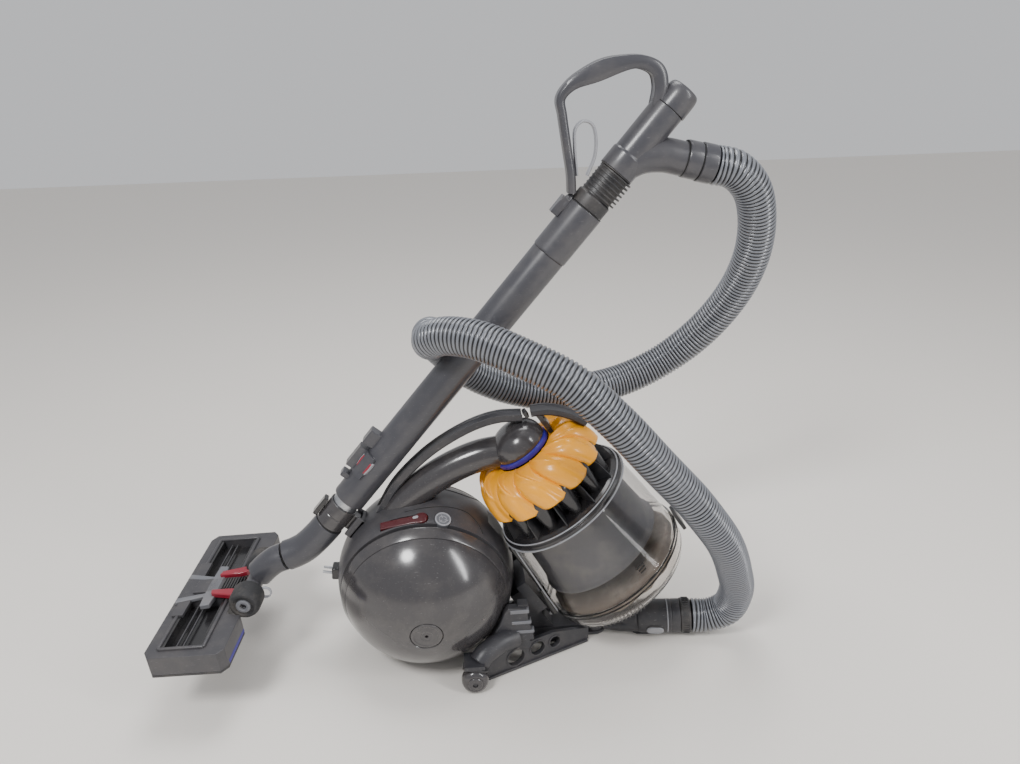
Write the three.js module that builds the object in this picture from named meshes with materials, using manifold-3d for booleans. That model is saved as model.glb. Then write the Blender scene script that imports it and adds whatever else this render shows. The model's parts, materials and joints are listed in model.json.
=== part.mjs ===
// Canister vacuum cleaner on a ball, with its wand docked upright behind it and its hose wound once
// round the wand. Millimetres, +Z up, +X towards the bin and the hose cuff, +Y to the cleaner's left.
// Each sub-part is one named mesh. Most groups have their own frame: each wheel's Z is its axle, the
// bin's Z runs up its axis, the wand's Z runs up the wand, and the floor tool's Z is its sole's normal.
import * as THREE from 'three';
import { mergeVertices } from 'three/addons/utils/BufferGeometryUtils.js';
import Module from 'manifold-3d';

const wasm = await Module();
wasm.setup();

// ---- Driving dimensions ----
const deg = THREE.MathUtils.degToRad;
const GAP = 0.3; // air between pieces that touch

// Places are written from the floor under the ball's centre, then the whole object is moved so that
// its origin is under the middle of the space that it fills without its hose.
const ORIGIN_SHIFT = new THREE.Vector3(-15.92, -0.03, 0);

const BALL_RADIUS = 128;
const CAMBER = deg(8); // the wheels' axles point down and outwards
const WALL = 4;
const CASING_HALF = 39.5; // casing's side faces, along the axle from the ball's centre
const RIM = 44; // wheel's open edge, along the axle
const TREAD_EDGE = 60; // where the tread meets the shell, along the axle
const TREAD_RADIUS = 120.8;
const TREAD_CREST = 46; // where the tread is widest, along the axle
const AXLE_RADIUS = 6;
const AXLE_END = 118;
const BALL_HEIGHT = TREAD_RADIUS * Math.cos(CAMBER) + TREAD_CREST * Math.sin(CAMBER);
const BALL_CENTRE = new THREE.Vector3(0, 0, BALL_HEIGHT);
const GROUND_CLEARANCE = 5;
const CASING_SPLIT = -20; // height of the casing's joint line from the ball's centre

const BIN_TOP = new THREE.Vector3(145, 0, 320); // centre of the bin's seal ring
const BIN_LEAN = deg(34); // the bin's axis from vertical, its top to the rear
const RIM_RADIUS = 102;
const CONE_COUNT = 12;

const WAND_PLACE = new THREE.Vector3(186.8, 0, 592.1); // the middle joint of the wand
const WAND_LEAN = deg(40.6); // the wand from vertical, its top forwards
const WAND_RADIUS = 23.5;
const WAND_BORE = 21;
const OUTER_BOTTOM = -441;
const INNER_RADIUS = 18.5;
const INNER_BORE = 16.5;
const COLLAR_TOP = -453;
const COLLAR_BOTTOM = -489;

const NECK_PIVOT = new THREE.Vector3(250, 0, 0);
const NECK_TURN = deg(-9);
const CUFF_RADIUS = 25;
const HOSE_RADIUS = 25;

const CASTOR_PLACE = new THREE.Vector3(62, 111, 19);
const CASTOR_RADIUS = 19;

const TOOL_PLACE = new THREE.Vector3(-302, 0, 108);
const TOOL_TURN = new THREE.Euler(deg(2), deg(-3.7), deg(-5.5), 'ZYX');
const TOOL_LENGTH = 280;
const TOOL_DEPTH = 108;
const TOOL_WHEEL_RADIUS = 21;
const TOOL_WHEEL = new THREE.Vector3(58, 45, 24); // left wheel's centre in the tool's frame

// ---- Colours and finishes ----
const material = (color, roughness, metalness = 0, more = {}) =>
  new THREE.MeshStandardMaterial({ color, roughness, metalness, ...more });
const shellGrey = material(0x4a4a4f, 0.3);
const casingGrey = material(0x58585c, 0.45);
const tubeGrey = material(0x5c5c62, 0.4);
const darkPlastic = material(0x2c2c30, 0.55);
const blackPlastic = material(0x151517, 0.5);
const lightGrey = material(0x9a9ca0, 0.5);
const yellow = material(0xe8a532, 0.4);
const purple = material(0x3b2d9a, 0.4);
const burgundy = material(0x5a141e, 0.4);
const red = material(0x963241, 0.35);
const rubber = material(0x202022, 0.8);
const steel = material(0xb0b2b6, 0.3, 1);
const hoseGrey = material(0x82878e, 0.45);
const clearGrey = material(0xaaa8a4, 0.1, 0, { transparent: true, opacity: 0.35 });

// ---- Geometry helpers ----
// A closed mesh with shared vertices and outward faces, as manifold takes it.
function weld(geometry) {
  const bare = geometry.clone();
  bare.deleteAttribute('normal');
  bare.deleteAttribute('uv');
  const merged = mergeVertices(bare, 1e-4);
  const p = merged.attributes.position;
  const index = merged.index.array;
  let volume = 0;
  const [a, b, c] = [new THREE.Vector3(), new THREE.Vector3(), new THREE.Vector3()];
  for (let i = 0; i < index.length; i += 3) {
    a.fromBufferAttribute(p, index[i]);
    b.fromBufferAttribute(p, index[i + 1]);
    c.fromBufferAttribute(p, index[i + 2]);
    volume += a.dot(b.cross(c));
  }
  if (volume < 0) {
    for (let i = 0; i < index.length; i += 3) [index[i], index[i + 1]] = [index[i + 1], index[i]];
  }
  return merged;
}

function solid(geometry) {
  const g = weld(geometry);
  const triVerts = new Uint32Array(g.index.array);
  const vertProperties = new Float32Array(g.attributes.position.array);
  return new wasm.Manifold(new wasm.Mesh({ numProp: 3, vertProperties, triVerts }));
}

function surface(manifold) {
  const mesh = manifold.getMesh();
  const geometry = new THREE.BufferGeometry();
  geometry.setAttribute('position', new THREE.BufferAttribute(mesh.vertProperties, 3));
  geometry.setIndex(new THREE.BufferAttribute(mesh.triVerts, 1));
  return geometry;
}

const join = (...geometries) => surface(geometries.map(solid).reduce((all, one) => all.add(one)));
const cut = (base, ...tools) =>
  surface(tools.map(solid).reduce((rest, tool) => rest.subtract(tool), solid(base)));
const common = (one, other) => surface(solid(one).intersect(solid(other)));

// A turned body about Z from [radius, height] points.
function lathe(points, segments = 18) {
  const profile = points.map(([r, z]) => new THREE.Vector2(r, z));
  if (points[0][0] > 0) profile.push(profile[0].clone());
  return new THREE.LatheGeometry(profile, segments).rotateX(Math.PI / 2);
}

const disc = (radius, low, high, segments = 18) =>
  lathe([[0, low], [radius, low], [radius, high], [0, high]], segments);
const ring = (outer, inner, low, high, segments = 18) =>
  lathe([[inner, low], [outer, low], [outer, high], [inner, high]], segments);
const cone = (lowRadius, highRadius, low, high, segments = 6) =>
  lathe([[0, low], [lowRadius, low], [highRadius, high], [0, high]], segments);

const box = (x0, x1, y0, y1, z0, z1) =>
  new THREE.BoxGeometry(x1 - x0, y1 - y0, z1 - z0)
    .translate((x0 + x1) / 2, (y0 + y1) / 2, (z0 + z1) / 2);

// A flat outline raised from z0 to z1.
const plate = (shape, z0, z1, curveSegments = 8) =>
  new THREE.ExtrudeGeometry(shape, { depth: z1 - z0, bevelEnabled: false, curveSegments })
    .translate(0, 0, z0);

const outline = (points) => new THREE.Shape(points.map(([x, y]) => new THREE.Vector2(x, y)));

// An oblong button standing along Z, its long side along X.
function pill(length, width, z0, z1) {
  const shape = new THREE.Shape();
  const half = (length - width) / 2;
  shape.absarc(half, 0, width / 2, -Math.PI / 2, Math.PI / 2);
  shape.absarc(-half, 0, width / 2, Math.PI / 2, Math.PI * 1.5);
  return plate(shape, z0, z1, 5);
}

// Sections for swept pieces.
function ellipse(width, height, sides, bore = 0) {
  const round = (w, h) => Array.from({ length: sides }, (_, i) => {
    const angle = (i / sides) * Math.PI * 2;
    return new THREE.Vector2((w / 2) * Math.cos(angle), (h / 2) * Math.sin(angle));
  });
  const shape = new THREE.Shape(round(width, height));
  if (bore) shape.holes.push(new THREE.Path(round(bore, bore)));
  return shape;
}

// A section carried along a smooth curve through the points.
function sweep(points, section, steps) {
  const path = new THREE.CatmullRomCurve3(points.map(([x, y, z]) => new THREE.Vector3(x, y, z)));
  return new THREE.ExtrudeGeometry(section, { steps, bevelEnabled: false, extrudePath: path });
}

const flat = (points) => points.map(([x, z]) => [x, 0, z]); // points on the cleaner's middle plane

function sphere(radius, segments = 28) {
  const half = segments / 2;
  return lathe(Array.from({ length: half + 1 }, (_, i) => {
    const angle = -Math.PI / 2 + (i / half) * Math.PI;
    const onAxis = i === 0 || i === half;
    return [onAxis ? 0 : radius * Math.cos(angle), radius * Math.sin(angle)];
  }), segments);
}

// ---- Scene graph ----
const cleaner = new THREE.Group();
cleaner.position.copy(ORIGIN_SHIFT);

function part(name, geometry, look, parent = cleaner) {
  const mesh = new THREE.Mesh(weld(geometry), look);
  mesh.name = name;
  parent.add(mesh);
  return mesh;
}

function frame(position, rotation = new THREE.Euler(), parent = cleaner) {
  const group = new THREE.Group();
  group.position.copy(position);
  group.rotation.copy(rotation);
  group.updateMatrix();
  parent.add(group);
  return group;
}

// Geometry written in the cleaner's frame, carried into a group's frame, and back.
const into = (group, geometry) => geometry.clone().applyMatrix4(group.matrix.clone().invert());
const outOf = (group, geometry) => geometry.clone().applyMatrix4(group.matrix);

const binFrame = frame(BIN_TOP, new THREE.Euler(0, -BIN_LEAN, 0));
const wandFrame = frame(WAND_PLACE, new THREE.Euler(0, WAND_LEAN, 0));
const toolFrame = frame(TOOL_PLACE, TOOL_TURN);
const neckFrame = frame(NECK_PIVOT, new THREE.Euler(0, 0, NECK_TURN));
const ballFrame = frame(BALL_CENTRE);

// ---- Duct that the casing, dome and arch are cut for ----
const DUCT_RADIUS = 23;
const DUCT_BORE = 19;
const DUCT_ROUTE = flat([[-46, 218], [-23, 247], [14, 277], [51, 298], [86, 311], [122, 316]]);
const DUCT_SIDES = 16;
const DUCT_STEPS = 9;
const ductSection = (diameter, bore) => ellipse(diameter, diameter, DUCT_SIDES, bore);
const ductSpace = sweep(DUCT_ROUTE, ductSection(2 * DUCT_RADIUS + 1), DUCT_STEPS);
const duct = sweep(DUCT_ROUTE, ductSection(2 * DUCT_RADIUS, 2 * DUCT_BORE), DUCT_STEPS);
const ballSpace = sphere(BALL_RADIUS + 0.6, 24).translate(0, 0, BALL_HEIGHT);

// ---- Ball wheels ----
function arc(radius, from, to, steps) {
  return Array.from({ length: steps + 1 }, (_, i) => {
    const z = from + ((to - from) * i) / steps;
    return [Math.sqrt(radius * radius - z * z), z];
  });
}

const HUB_SEAT = 22; // radius of the recess for the hub cap
const wheelShell = lathe([
  [116, RIM], [120.3, RIM], [TREAD_RADIUS, TREAD_CREST], [117.2, 52],
  ...arc(BALL_RADIUS, TREAD_EDGE, 102, 3), ...arc(BALL_RADIUS, 114, 122, 1),
  [HUB_SEAT, 126], [HUB_SEAT, 121.5], [7, 121.5], [7, 62], [14, 62], [14, 117], [30, 117],
  ...arc(BALL_RADIUS - WALL, 112, TREAD_EDGE, 3),
], 28);
const hubCap = lathe([
  [2.4, 121.8], [21.6, 121.8], [21.6, 125.4], [19, 126.6], [8, 127.6], [2.4, 127.4],
]);
const axle = join(
  disc(AXLE_RADIUS, CASING_HALF + GAP + 1, AXLE_END, 16),
  disc(16, CASING_HALF + GAP, CASING_HALF + 5, 16),
);

for (const [side, turn] of [['right', 1], ['left', -1]]) {
  // The wheel's Z is its axle, down and outwards on its own side.
  const tilt = new THREE.Euler(turn * (Math.PI / 2 + CAMBER), 0, 0);
  const wheel = frame(new THREE.Vector3(), tilt, ballFrame);
  part(`wheel_shell_${side}`, wheelShell, shellGrey, wheel);
  part(`hub_cap_${side}`, hubCap, lightGrey, wheel);
  part(`wheel_axle_${side}`, axle, steel, wheel);
}

// ---- Casing between the wheels ----
// What is left of a ball between two planes square to the axles.
function slice(radius, half, ground) {
  const below = box(-150, 150, -150, 150, -150, ground - BALL_HEIGHT);
  const beyond = (turn) =>
    box(-150, 150, -150, 150, half, half + 150).rotateX(turn * (Math.PI / 2 + CAMBER));
  return cut(sphere(radius, 24), beyond(1), beyond(-1), below);
}

const binSpace = into(ballFrame, outOf(binFrame, disc(RIM_RADIUS + 2.5, -150, -60, 28)));
const binSpaceWall = into(ballFrame, outOf(binFrame, disc(RIM_RADIUS + 2.5 + WALL, -154, -56, 28)));
const casingBall = slice(BALL_RADIUS, CASING_HALF, GROUND_CLEARANCE);
const casingSkin = cut(casingBall, binSpace, into(ballFrame, ductSpace));
const casingRoom = slice(BALL_RADIUS - WALL, CASING_HALF - WALL, GROUND_CLEARANCE + WALL);
const casingHollow = cut(casingRoom, binSpaceWall);
const casing = cut(casingSkin, casingHollow);

// The side buttons and pedals sit in pockets on the casing's shoulders.
function shoulder(x, y) {
  const z = Math.sqrt(BALL_RADIUS ** 2 - x * x - y * y);
  const normal = new THREE.Vector3(x, y, z).normalize();
  const turn = new THREE.Quaternion().setFromUnitVectors(new THREE.Vector3(0, 0, 1), normal);
  const place = normal.clone().multiplyScalar(BALL_RADIUS);
  return new THREE.Matrix4().compose(place, turn, new THREE.Vector3(1, 1, 1));
}

const BUTTON_X = 30;
const PEDAL_X = -24;
const SHOULDER_Y = 48;
const buttonFrames = { right: shoulder(BUTTON_X, -SHOULDER_Y), left: shoulder(BUTTON_X, SHOULDER_Y) };
const pedalFrames = { right: shoulder(PEDAL_X, -SHOULDER_Y), left: shoulder(PEDAL_X, SHOULDER_Y) };
const pockets = [];
for (const side of ['right', 'left']) {
  pockets.push(disc(12, -20, 10, 20).applyMatrix4(buttonFrames[side]));
  pockets.push(pill(66, 11, -20, 10).applyMatrix4(pedalFrames[side]));
}
const upperHalf = box(-150, 150, -150, 150, CASING_SPLIT + GAP / 2, 150);
const lowerHalf = box(-150, 150, -150, 150, -150, CASING_SPLIT - GAP / 2);
// The socket at the back holds the tab on the wand's collar.
const dock = into(ballFrame, outOf(wandFrame, cut(box(22, 50, -15, 15, -488, -450),
  box(10, 31, -8.8, 8.8, -482, -440), disc(23.4, -500, -440, 24))));
const dockSolid = cut(dock, sphere(BALL_RADIUS - 2.5));
const across = (geometry, x, z) => geometry.rotateX(Math.PI / 2).translate(x, 0, z);
const reelAxle = across(disc(7.4, -37, 37, 12), -56, -4);
const upperShell = join(cut(common(casing, upperHalf), ...pockets), dockSolid, reelAxle);
part('casing_upper', upperShell, casingGrey, ballFrame);
part('casing_lower', common(casing, lowerHalf), casingGrey, ballFrame);

for (const side of ['right', 'left']) {
  const button = disc(11.4, -6, 0.6, 20).applyMatrix4(buttonFrames[side]);
  const pedal = pill(64.6, 9.6, -6, -0.6).applyMatrix4(pedalFrames[side]);
  part(side === 'right' ? 'rewind_button' : 'power_button', button, lightGrey, ballFrame);
  part(`side_pedal_${side}`, pedal, burgundy, ballFrame);
}

// ---- Inside the casing ----
part('motor', across(join(disc(40, -24, 26), disc(5, -31.5, -20, 16)), 42, 6), steel, ballFrame);
const fan = join(ring(34, 5.6, -31, -28), ring(12, 5.6, -31, -26, 16));
part('impeller', across(fan, 42, 6), lightGrey, ballFrame);
// The reel's flanges with the cable wound between them.
part('cable_reel', across(lathe([
  [8, -24], [52, -24], [52, -22], [44, -22], [44, 22], [52, 22], [52, 24], [8, 24],
]), -56, -4), darkPlastic, ballFrame);
part('pre_motor_filter', ring(33, 12, 60, 82).translate(20, 0, 0), lightGrey, ballFrame);

// ---- Duct, arch and dome ----
part('duct_pipe', cut(duct, outOf(binFrame, disc(70, -60, 3.9))), shellGrey);
const ARCH_ROUTE = flat([[-62, 228], [-36, 272], [-5, 305], [29, 332], [77, 358], [113, 368], [146, 368]]);
const arch = sweep(ARCH_ROUTE, ellipse(24, 12, 8), 22);
part('carry_arch', cut(arch, ductSpace, ballSpace), casingGrey);
const dome = lathe([[0, 4], [39, 4], [40, 8], [38.5, 17], [32, 28], [20, 35.5], [0, 38.5]], 24);
part('cyclone_dome', cut(dome, into(binFrame, ductSpace)), shellGrey, binFrame);

// ---- Bin and cyclones ----
part('seal_ring', ring(41.5, 34, -4, 3.6), purple, binFrame);

// The yellow cap: a bell edge pressed into lobes that swirl round the axis.
const LOBE_RISE = 7;
const LOBE_REACH = 5;
const LOBE_SWIRL = deg(22);
const CAP_INNER = 42;
const CAP_OUTER = 94;
function lobedCap(segments) {
  const bell = lathe([
    [CAP_INNER, -5], [68, -14], [CAP_OUTER, -44], [87, -45.5], [65.5, -18], [CAP_INNER, -9],
  ], segments);
  const p = bell.attributes.position;
  for (let i = 0; i < p.count; i++) {
    const [x, y, z] = [p.getX(i), p.getY(i), p.getZ(i)];
    const radius = Math.hypot(x, y);
    const out = THREE.MathUtils.clamp((radius - CAP_INNER) / (CAP_OUTER - CAP_INNER), 0, 1);
    const angle = Math.atan2(y, x);
    const lobe = Math.abs(Math.sin((CONE_COUNT / 2) * angle));
    const reach = radius + LOBE_REACH * out * (lobe - 0.4);
    const turned = angle + LOBE_SWIRL * out * out;
    const rise = LOBE_RISE * Math.sin(Math.PI * out) * lobe;
    p.setXYZ(i, reach * Math.cos(turned), reach * Math.sin(turned), z + rise);
  }
  return bell;
}
part('cyclone_cap', lobedCap(48), yellow, binFrame);

const coneBody = lathe([
  [20, -9], [34, -9], [38, -15], [46, -30], [50, -90], [47, -90], [43, -32], [35, -18], [20, -12],
]);
const cones = Array.from({ length: CONE_COUNT }, (_, i) => {
  const angle = ((i + 0.5) / CONE_COUNT) * Math.PI * 2;
  return cone(8, 15, -89, -38).translate(62 * Math.cos(angle), 62 * Math.sin(angle), 0);
});
const binRim = lathe([
  [0, -102], [98, -102], [RIM_RADIUS, -99], [RIM_RADIUS, -93], [97, -89], [46, -88], [46, -98], [0, -98],
], 28);
part('cyclone_pack', join(coneBody, ...cones, binRim), blackPlastic, binFrame);
part('clear_bin', lathe([
  [97.4, -102.4], [100, -102.4], [100.6, -110], [109, -226], [106.4, -226], [98, -110],
], 28), clearGrey, binFrame);
part('shroud', lathe([
  [0, -102.4], [76, -102.4], [78, -150], [82, -194], [86, -198], [86, -203], [83, -203], [79, -195],
  [75, -150], [73, -106], [0, -106],
]), lightGrey, binFrame);

const PIN_X = -119;
const PIN_Z = -241;
const pinAt = (geometry) => geometry.rotateX(Math.PI / 2).translate(PIN_X, 0, PIN_Z);
const knuckle = (low, high) => pinAt(ring(7, 3.9, low, high, 16));
const baseRing = ring(113, 100, -235, -226.3, 28);
const ringLugs = [[-22, -12], [12, 22]].map(([a, b]) =>
  box(PIN_X - 5, -111, a, b, PIN_Z, -228));
part('bin_base_ring', cut(join(baseRing, ...ringLugs, knuckle(-22, -12), knuckle(12, 22)),
  pinAt(disc(3.9, -40, 40, 16)), pinAt(disc(8, -11.9, 11.9, 16))), darkPlastic, binFrame);
const lidDish = lathe([
  [0, -265], [90, -265], [104, -261], [110, -249], [110, -235.4], [106, -235.4], [106, -248],
  [101, -257], [88, -261.5], [0, -261.5],
], 28);
const lidLug = box(PIN_X - 3, -108, -10.8, 10.8, PIN_Z - 6, PIN_Z + 3);
part('bin_lid', cut(join(lidDish, knuckle(-10.8, 10.8), lidLug), pinAt(disc(3.9, -40, 40, 16))),
  clearGrey, binFrame);
part('lid_hinge_pin', pinAt(disc(3.2, -24, 24, 16)), steel, binFrame);
part('lid_catch', box(113.6, 119, -14, 14, -252, -222), darkPlastic, binFrame);

const HANDLE_ROUTE = flat([[40, 36], [62, 21], [81, -2], [93, -26]]);
const binHandle = join(sweep(HANDLE_ROUTE, ellipse(26, 10, 8), 10), box(44, 50, -8, 8, -4, 32));
part('bin_handle', binHandle, casingGrey, binFrame);
part('bin_release_button', box(31, 36.4, -7, 7, 33.5, 44), blackPlastic, binFrame);

// ---- Chassis under the bin ----
const WEB_FOOT = [72, 95];
const WEB_NOSE = [236, 24];
function web(side) {
  // An upright plate with three holes, from the castor in to the nose.
  const along = Math.hypot(WEB_NOSE[0] - WEB_FOOT[0], WEB_NOSE[1] - WEB_FOOT[1]);
  const shape = outline([[0, 5], [along, 4], [along, 24], [along * 0.66, 40], [along * 0.2, 40], [0, 34]]);
  for (const [s, z, radius] of [[54, 21, 13.5], [90, 23, 11.5], [119, 23, 9]]) {
    shape.holes.push(new THREE.Path().absarc(s, z, radius, 0, Math.PI * 2, true));
  }
  const turn = Math.atan2(side * (WEB_NOSE[1] - WEB_FOOT[1]), WEB_NOSE[0] - WEB_FOOT[0]);
  return plate(shape, -3, 3, 6).rotateX(Math.PI / 2).rotateZ(turn)
    .translate(WEB_FOOT[0], side * WEB_FOOT[1], 0);
}
const castorArm = (side) => {
  const y = (low, high) => (side > 0 ? [low, high] : [-high, -low]);
  return [
    box(54, 80, ...y(88, 99), 8, 44), box(48, 76, ...y(88, 120), 40, 46),
    disc(3, 97, 123.4, 12).rotateX((-side * Math.PI) / 2).translate(CASTOR_PLACE.x, 0, CASTOR_PLACE.z),
    box(124, 144, ...y(58, 76), 36, 86), box(128, 142, ...y(58, 72), 84, 108),
  ];
};
const cradle = outOf(binFrame, join(
  box(-131, -114.5, -34, 34, -222, -166), box(-150, -129, -24, 24, -262, -180),
));
const nose = join(box(140, 232, -26, 26, 4, 30), box(130, 164, -24, 24, 26, 46));
const fork = join(
  disc(17, 3, 8, 20).translate(NECK_PIVOT.x, 0, 0), disc(17, 22, 27, 20).translate(NECK_PIVOT.x, 0, 0),
  box(228, 250, -17, 17, 3, 8), box(228, 250, -17, 17, 22, 27),
);
const pivotHole = disc(5.6, 0, 40, 16).translate(NECK_PIVOT.x, 0, 0);
const chassis = join(web(1), web(-1), ...castorArm(1), ...castorArm(-1), cradle, nose, fork);
part('chassis', cut(chassis, pivotHole, ballSpace), casingGrey);
part('steering_pin', disc(5, 2.5, 28.5, 16).translate(NECK_PIVOT.x, 0, 0), steel);

for (const [side, sign] of [['right', -1], ['left', 1]]) {
  const hub = new THREE.Vector3(CASTOR_PLACE.x, sign * CASTOR_PLACE.y, CASTOR_PLACE.z);
  const castor = frame(hub, new THREE.Euler((-sign * Math.PI) / 2, 0, 0));
  part(`castor_wheel_${side}`, lathe([
    [3.6, -11], [16, -11], [CASTOR_RADIUS, -8], [CASTOR_RADIUS, 8], [16, 11], [3.6, 11],
  ]), rubber, castor);
}

// ---- Steering neck and hose cuff ----
const lengthwise = (geometry, tilt, x, z) => geometry.rotateY(Math.PI / 2 - tilt).translate(x, 0, z);
const neckRing = disc(16.5, 8.5, 21.5, 18);
const neckCone = lengthwise(lathe([
  [0, 0], [5.8, 0], [5.8, 9], [10, 19], [17, 38], [22.5, 56], [0, 56],
], 18), deg(11), 12, 15);
const skid = box(66, 100, -9, 9, 0, 6);
const CUFF_TILT = deg(3);
const cuffShape = lathe([[0, 0], [24, 0], [CUFF_RADIUS, 6], [CUFF_RADIUS, 64], [0, 64]]);
const cuffBody = lengthwise(cuffShape, CUFF_TILT, 66, 26);
const pillFrame = new THREE.Matrix4().makeRotationX(deg(112)).setPosition(92, 0, 27);
const pillPocket = pill(28, 17, 16, 40).applyMatrix4(pillFrame);
const neckBody = join(neckRing, neckCone, cuffBody, skid);
part('steering_neck', cut(neckBody, disc(5.6, 0, 40, 16), pillPocket,
  lengthwise(disc(19, 20, 80), CUFF_TILT, 66, 26)), casingGrey, neckFrame);
part('hose_release_button', pill(26, 15, 20, 27).applyMatrix4(pillFrame), lightGrey, neckFrame);
const lowerCollar = lengthwise(ring(26.2, 20, 64.4, 80), CUFF_TILT, 66, 26);
part('hose_collar_lower', lowerCollar, shellGrey, neckFrame);

// ---- Plug, parked at the back of the casing ----
const PLUG_LEAN = deg(5);
const plug = join(box(-144, -126, -11, 11, -8, 12), box(-130, -124, -8, 8, -6, 10));
const pins = [-5, 5].map((y) => disc(2.2, 0, 17, 8).rotateY(-Math.PI / 2).translate(-143, y, 2));
part('power_plug', cut(join(plug, ...pins), sphere(BALL_RADIUS + 0.6, 24)).rotateY(PLUG_LEAN),
  blackPlastic, ballFrame);

// ---- Wand: dock, inner tube, collar and elbow ----
const dockTab = box(20, 30, -8, 8, -480, -456);
const neckCollar = cut(join(disc(21, COLLAR_BOTTOM, COLLAR_TOP, 24), dockTab), disc(19, -500, -440, 24));
part('neck_collar', neckCollar, shellGrey, wandFrame);
part('inner_tube', ring(INNER_RADIUS, INNER_BORE, -486, -70), steel, wandFrame);

const elbowRoute = flat([[-132.6, 219], [-150, 200.5], [-170, 183], [-184, 175.6], [-197, 171]]);
const elbow = sweep(elbowRoute, ellipse(44, 44, 16, 37), 6);
part('tool_elbow', elbow, tubeGrey);
part('collar_clip', box(-29, -22.4, -7, 7, -488, -458), blackPlastic, wandFrame);

// ---- Wand: outer tube, catches ----
const saddle = (outer, from, to, z0, z1) => {
  const shape = new THREE.Shape();
  shape.absarc(0, 0, outer, from, to, false);
  shape.absarc(0, 0, WAND_RADIUS + GAP, to, from, true);
  return plate(shape, z0, z1, 10);
};
const outerTube = cut(
  join(disc(WAND_RADIUS, OUTER_BOTTOM, 0, 24), disc(24.6, -1, 72.4, 24),
    box(-37, -18, -9, 9, -357, -334), box(-33, -18, -8, 8, -416, -407)),
  disc(WAND_BORE, OUTER_BOTTOM - 5, 80, 24),
);
part('outer_tube', outerTube, tubeGrey, wandFrame);
const catchSaddle = join(
  saddle(27, deg(115), deg(245), -398, -362),
  cut(box(-36, -22, -8, 8, -397, -363), disc(WAND_RADIUS + GAP, -500, -300, 24)),
);
part('telescope_catch', catchSaddle, red, wandFrame);
part('wand_catch_button', cut(box(-35, -22, -8, 8, 42, 68), disc(25, 0, 100, 24)), tubeGrey, wandFrame);

// ---- Handle ----
const branchRoute = [[140, 0], [163, 12], [182, 32], [197, 58]].map(([s, v]) => [v, 0, s]);
const branchOuter = sweep(branchRoute, ellipse(43, 43, 16), 6);
const branchInner = sweep([[4, 0, 138], ...branchRoute.slice(1), [67, 0, 201.5]], ellipse(36, 36, 16), 6);
const handleBody = cut(join(disc(23.5, 130.5, 156, 24), disc(22, 150, 226, 24), branchOuter),
  disc(18, 120, 214, 24), branchInner);
part('bleed_sleeve', lathe([
  [18.6, 73], [23.6, 73], [23.6, 91], [22, 92], [22, 129], [23.6, 130.1], [18.6, 130.1],
]), casingGrey, wandFrame);
part('handle_end_cap', lathe([[0, 226.4], [21.5, 226.4], [20, 254], [17, 257], [0, 257]], 24)
  .translate(2, 0, 0), tubeGrey, wandFrame);

const branchFrame = frame(new THREE.Vector3(56, 0, 196), new THREE.Euler(0, deg(63), 0), wandFrame);
part('handle_tube', cut(handleBody, outOf(branchFrame, disc(40, -GAP, 60))), tubeGrey, wandFrame);
part('hose_collar_upper', lathe([
  [18.5, 0], [22.6, 0], [23.6, 2], [23.6, 18], [22.8, 19], [24.6, 20], [24.6, 39], [18.5, 39],
]), casingGrey, branchFrame);

const gripRoute = [
  [237, -24], [252, -40], [249, -62], [233, -79], [205, -98], [180, -110], [160, -111], [147, -101],
  [118, -70], [92, -42], [80, -30],
].map(([s, v]) => [v, 0, s]);
const grip = sweep(gripRoute, ellipse(24, 15, 8), 22);
part('handle_grip', cut(grip, disc(24.8, 60, 222, 24), disc(22.6, 222, 262, 24).translate(2, 0, 0)),
  casingGrey, wandFrame);
const triggerRoute = [
  [112, -30], [128, -36], [146, -50], [153, -62], [149, -72], [139, -74], [132, -66],
].map(([s, v]) => [v, 0, s]);
part('suction_trigger', sweep(triggerRoute, ellipse(12, 4, 8), 16), lightGrey, wandFrame);

// ---- Floor tool, in its own frame: X towards the neck, Y along its length ----
const halfLength = TOOL_LENGTH / 2;
const halfDepth = TOOL_DEPTH / 2;
const bodyShape = outline([
  [-halfDepth + 8, -halfLength], [halfDepth - 8, -halfLength], [halfDepth, -halfLength + 10],
  [halfDepth, -64], [33, -58], [33, 58], [halfDepth, 64], [halfDepth, halfLength - 10],
  [halfDepth - 8, halfLength], [-halfDepth + 8, halfLength], [-halfDepth, halfLength - 12],
  [-halfDepth, -halfLength + 12],
]);
const windows = [-1, 1].map((side) => {
  const [low, high] = side > 0 ? [24, 122] : [-122, -24];
  return box(-34, 22, low, high, 2, 30);
});
const bridge = [box(-44, -28, -60, 60, 14, 19), box(-30, 30, -15, 15, 14, 22)];
part('tool_body', join(cut(plate(bodyShape, -13, 15), ...windows), ...bridge), casingGrey, toolFrame);
part('soleplate', cut(plate(bodyShape, -17, -13.3), box(-20, 4, -128, 128, -30, 0)), darkPlastic, toolFrame);
const pedalPad = (y0, y1) => box(22, 44, y0, y1, 19, 25);
const pedal = join(pedalPad(17, 32), pedalPad(-32, -17), box(22, 28, -32, 32, 22.4, 25));
part('tool_pedal', pedal, red, toolFrame);

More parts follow.
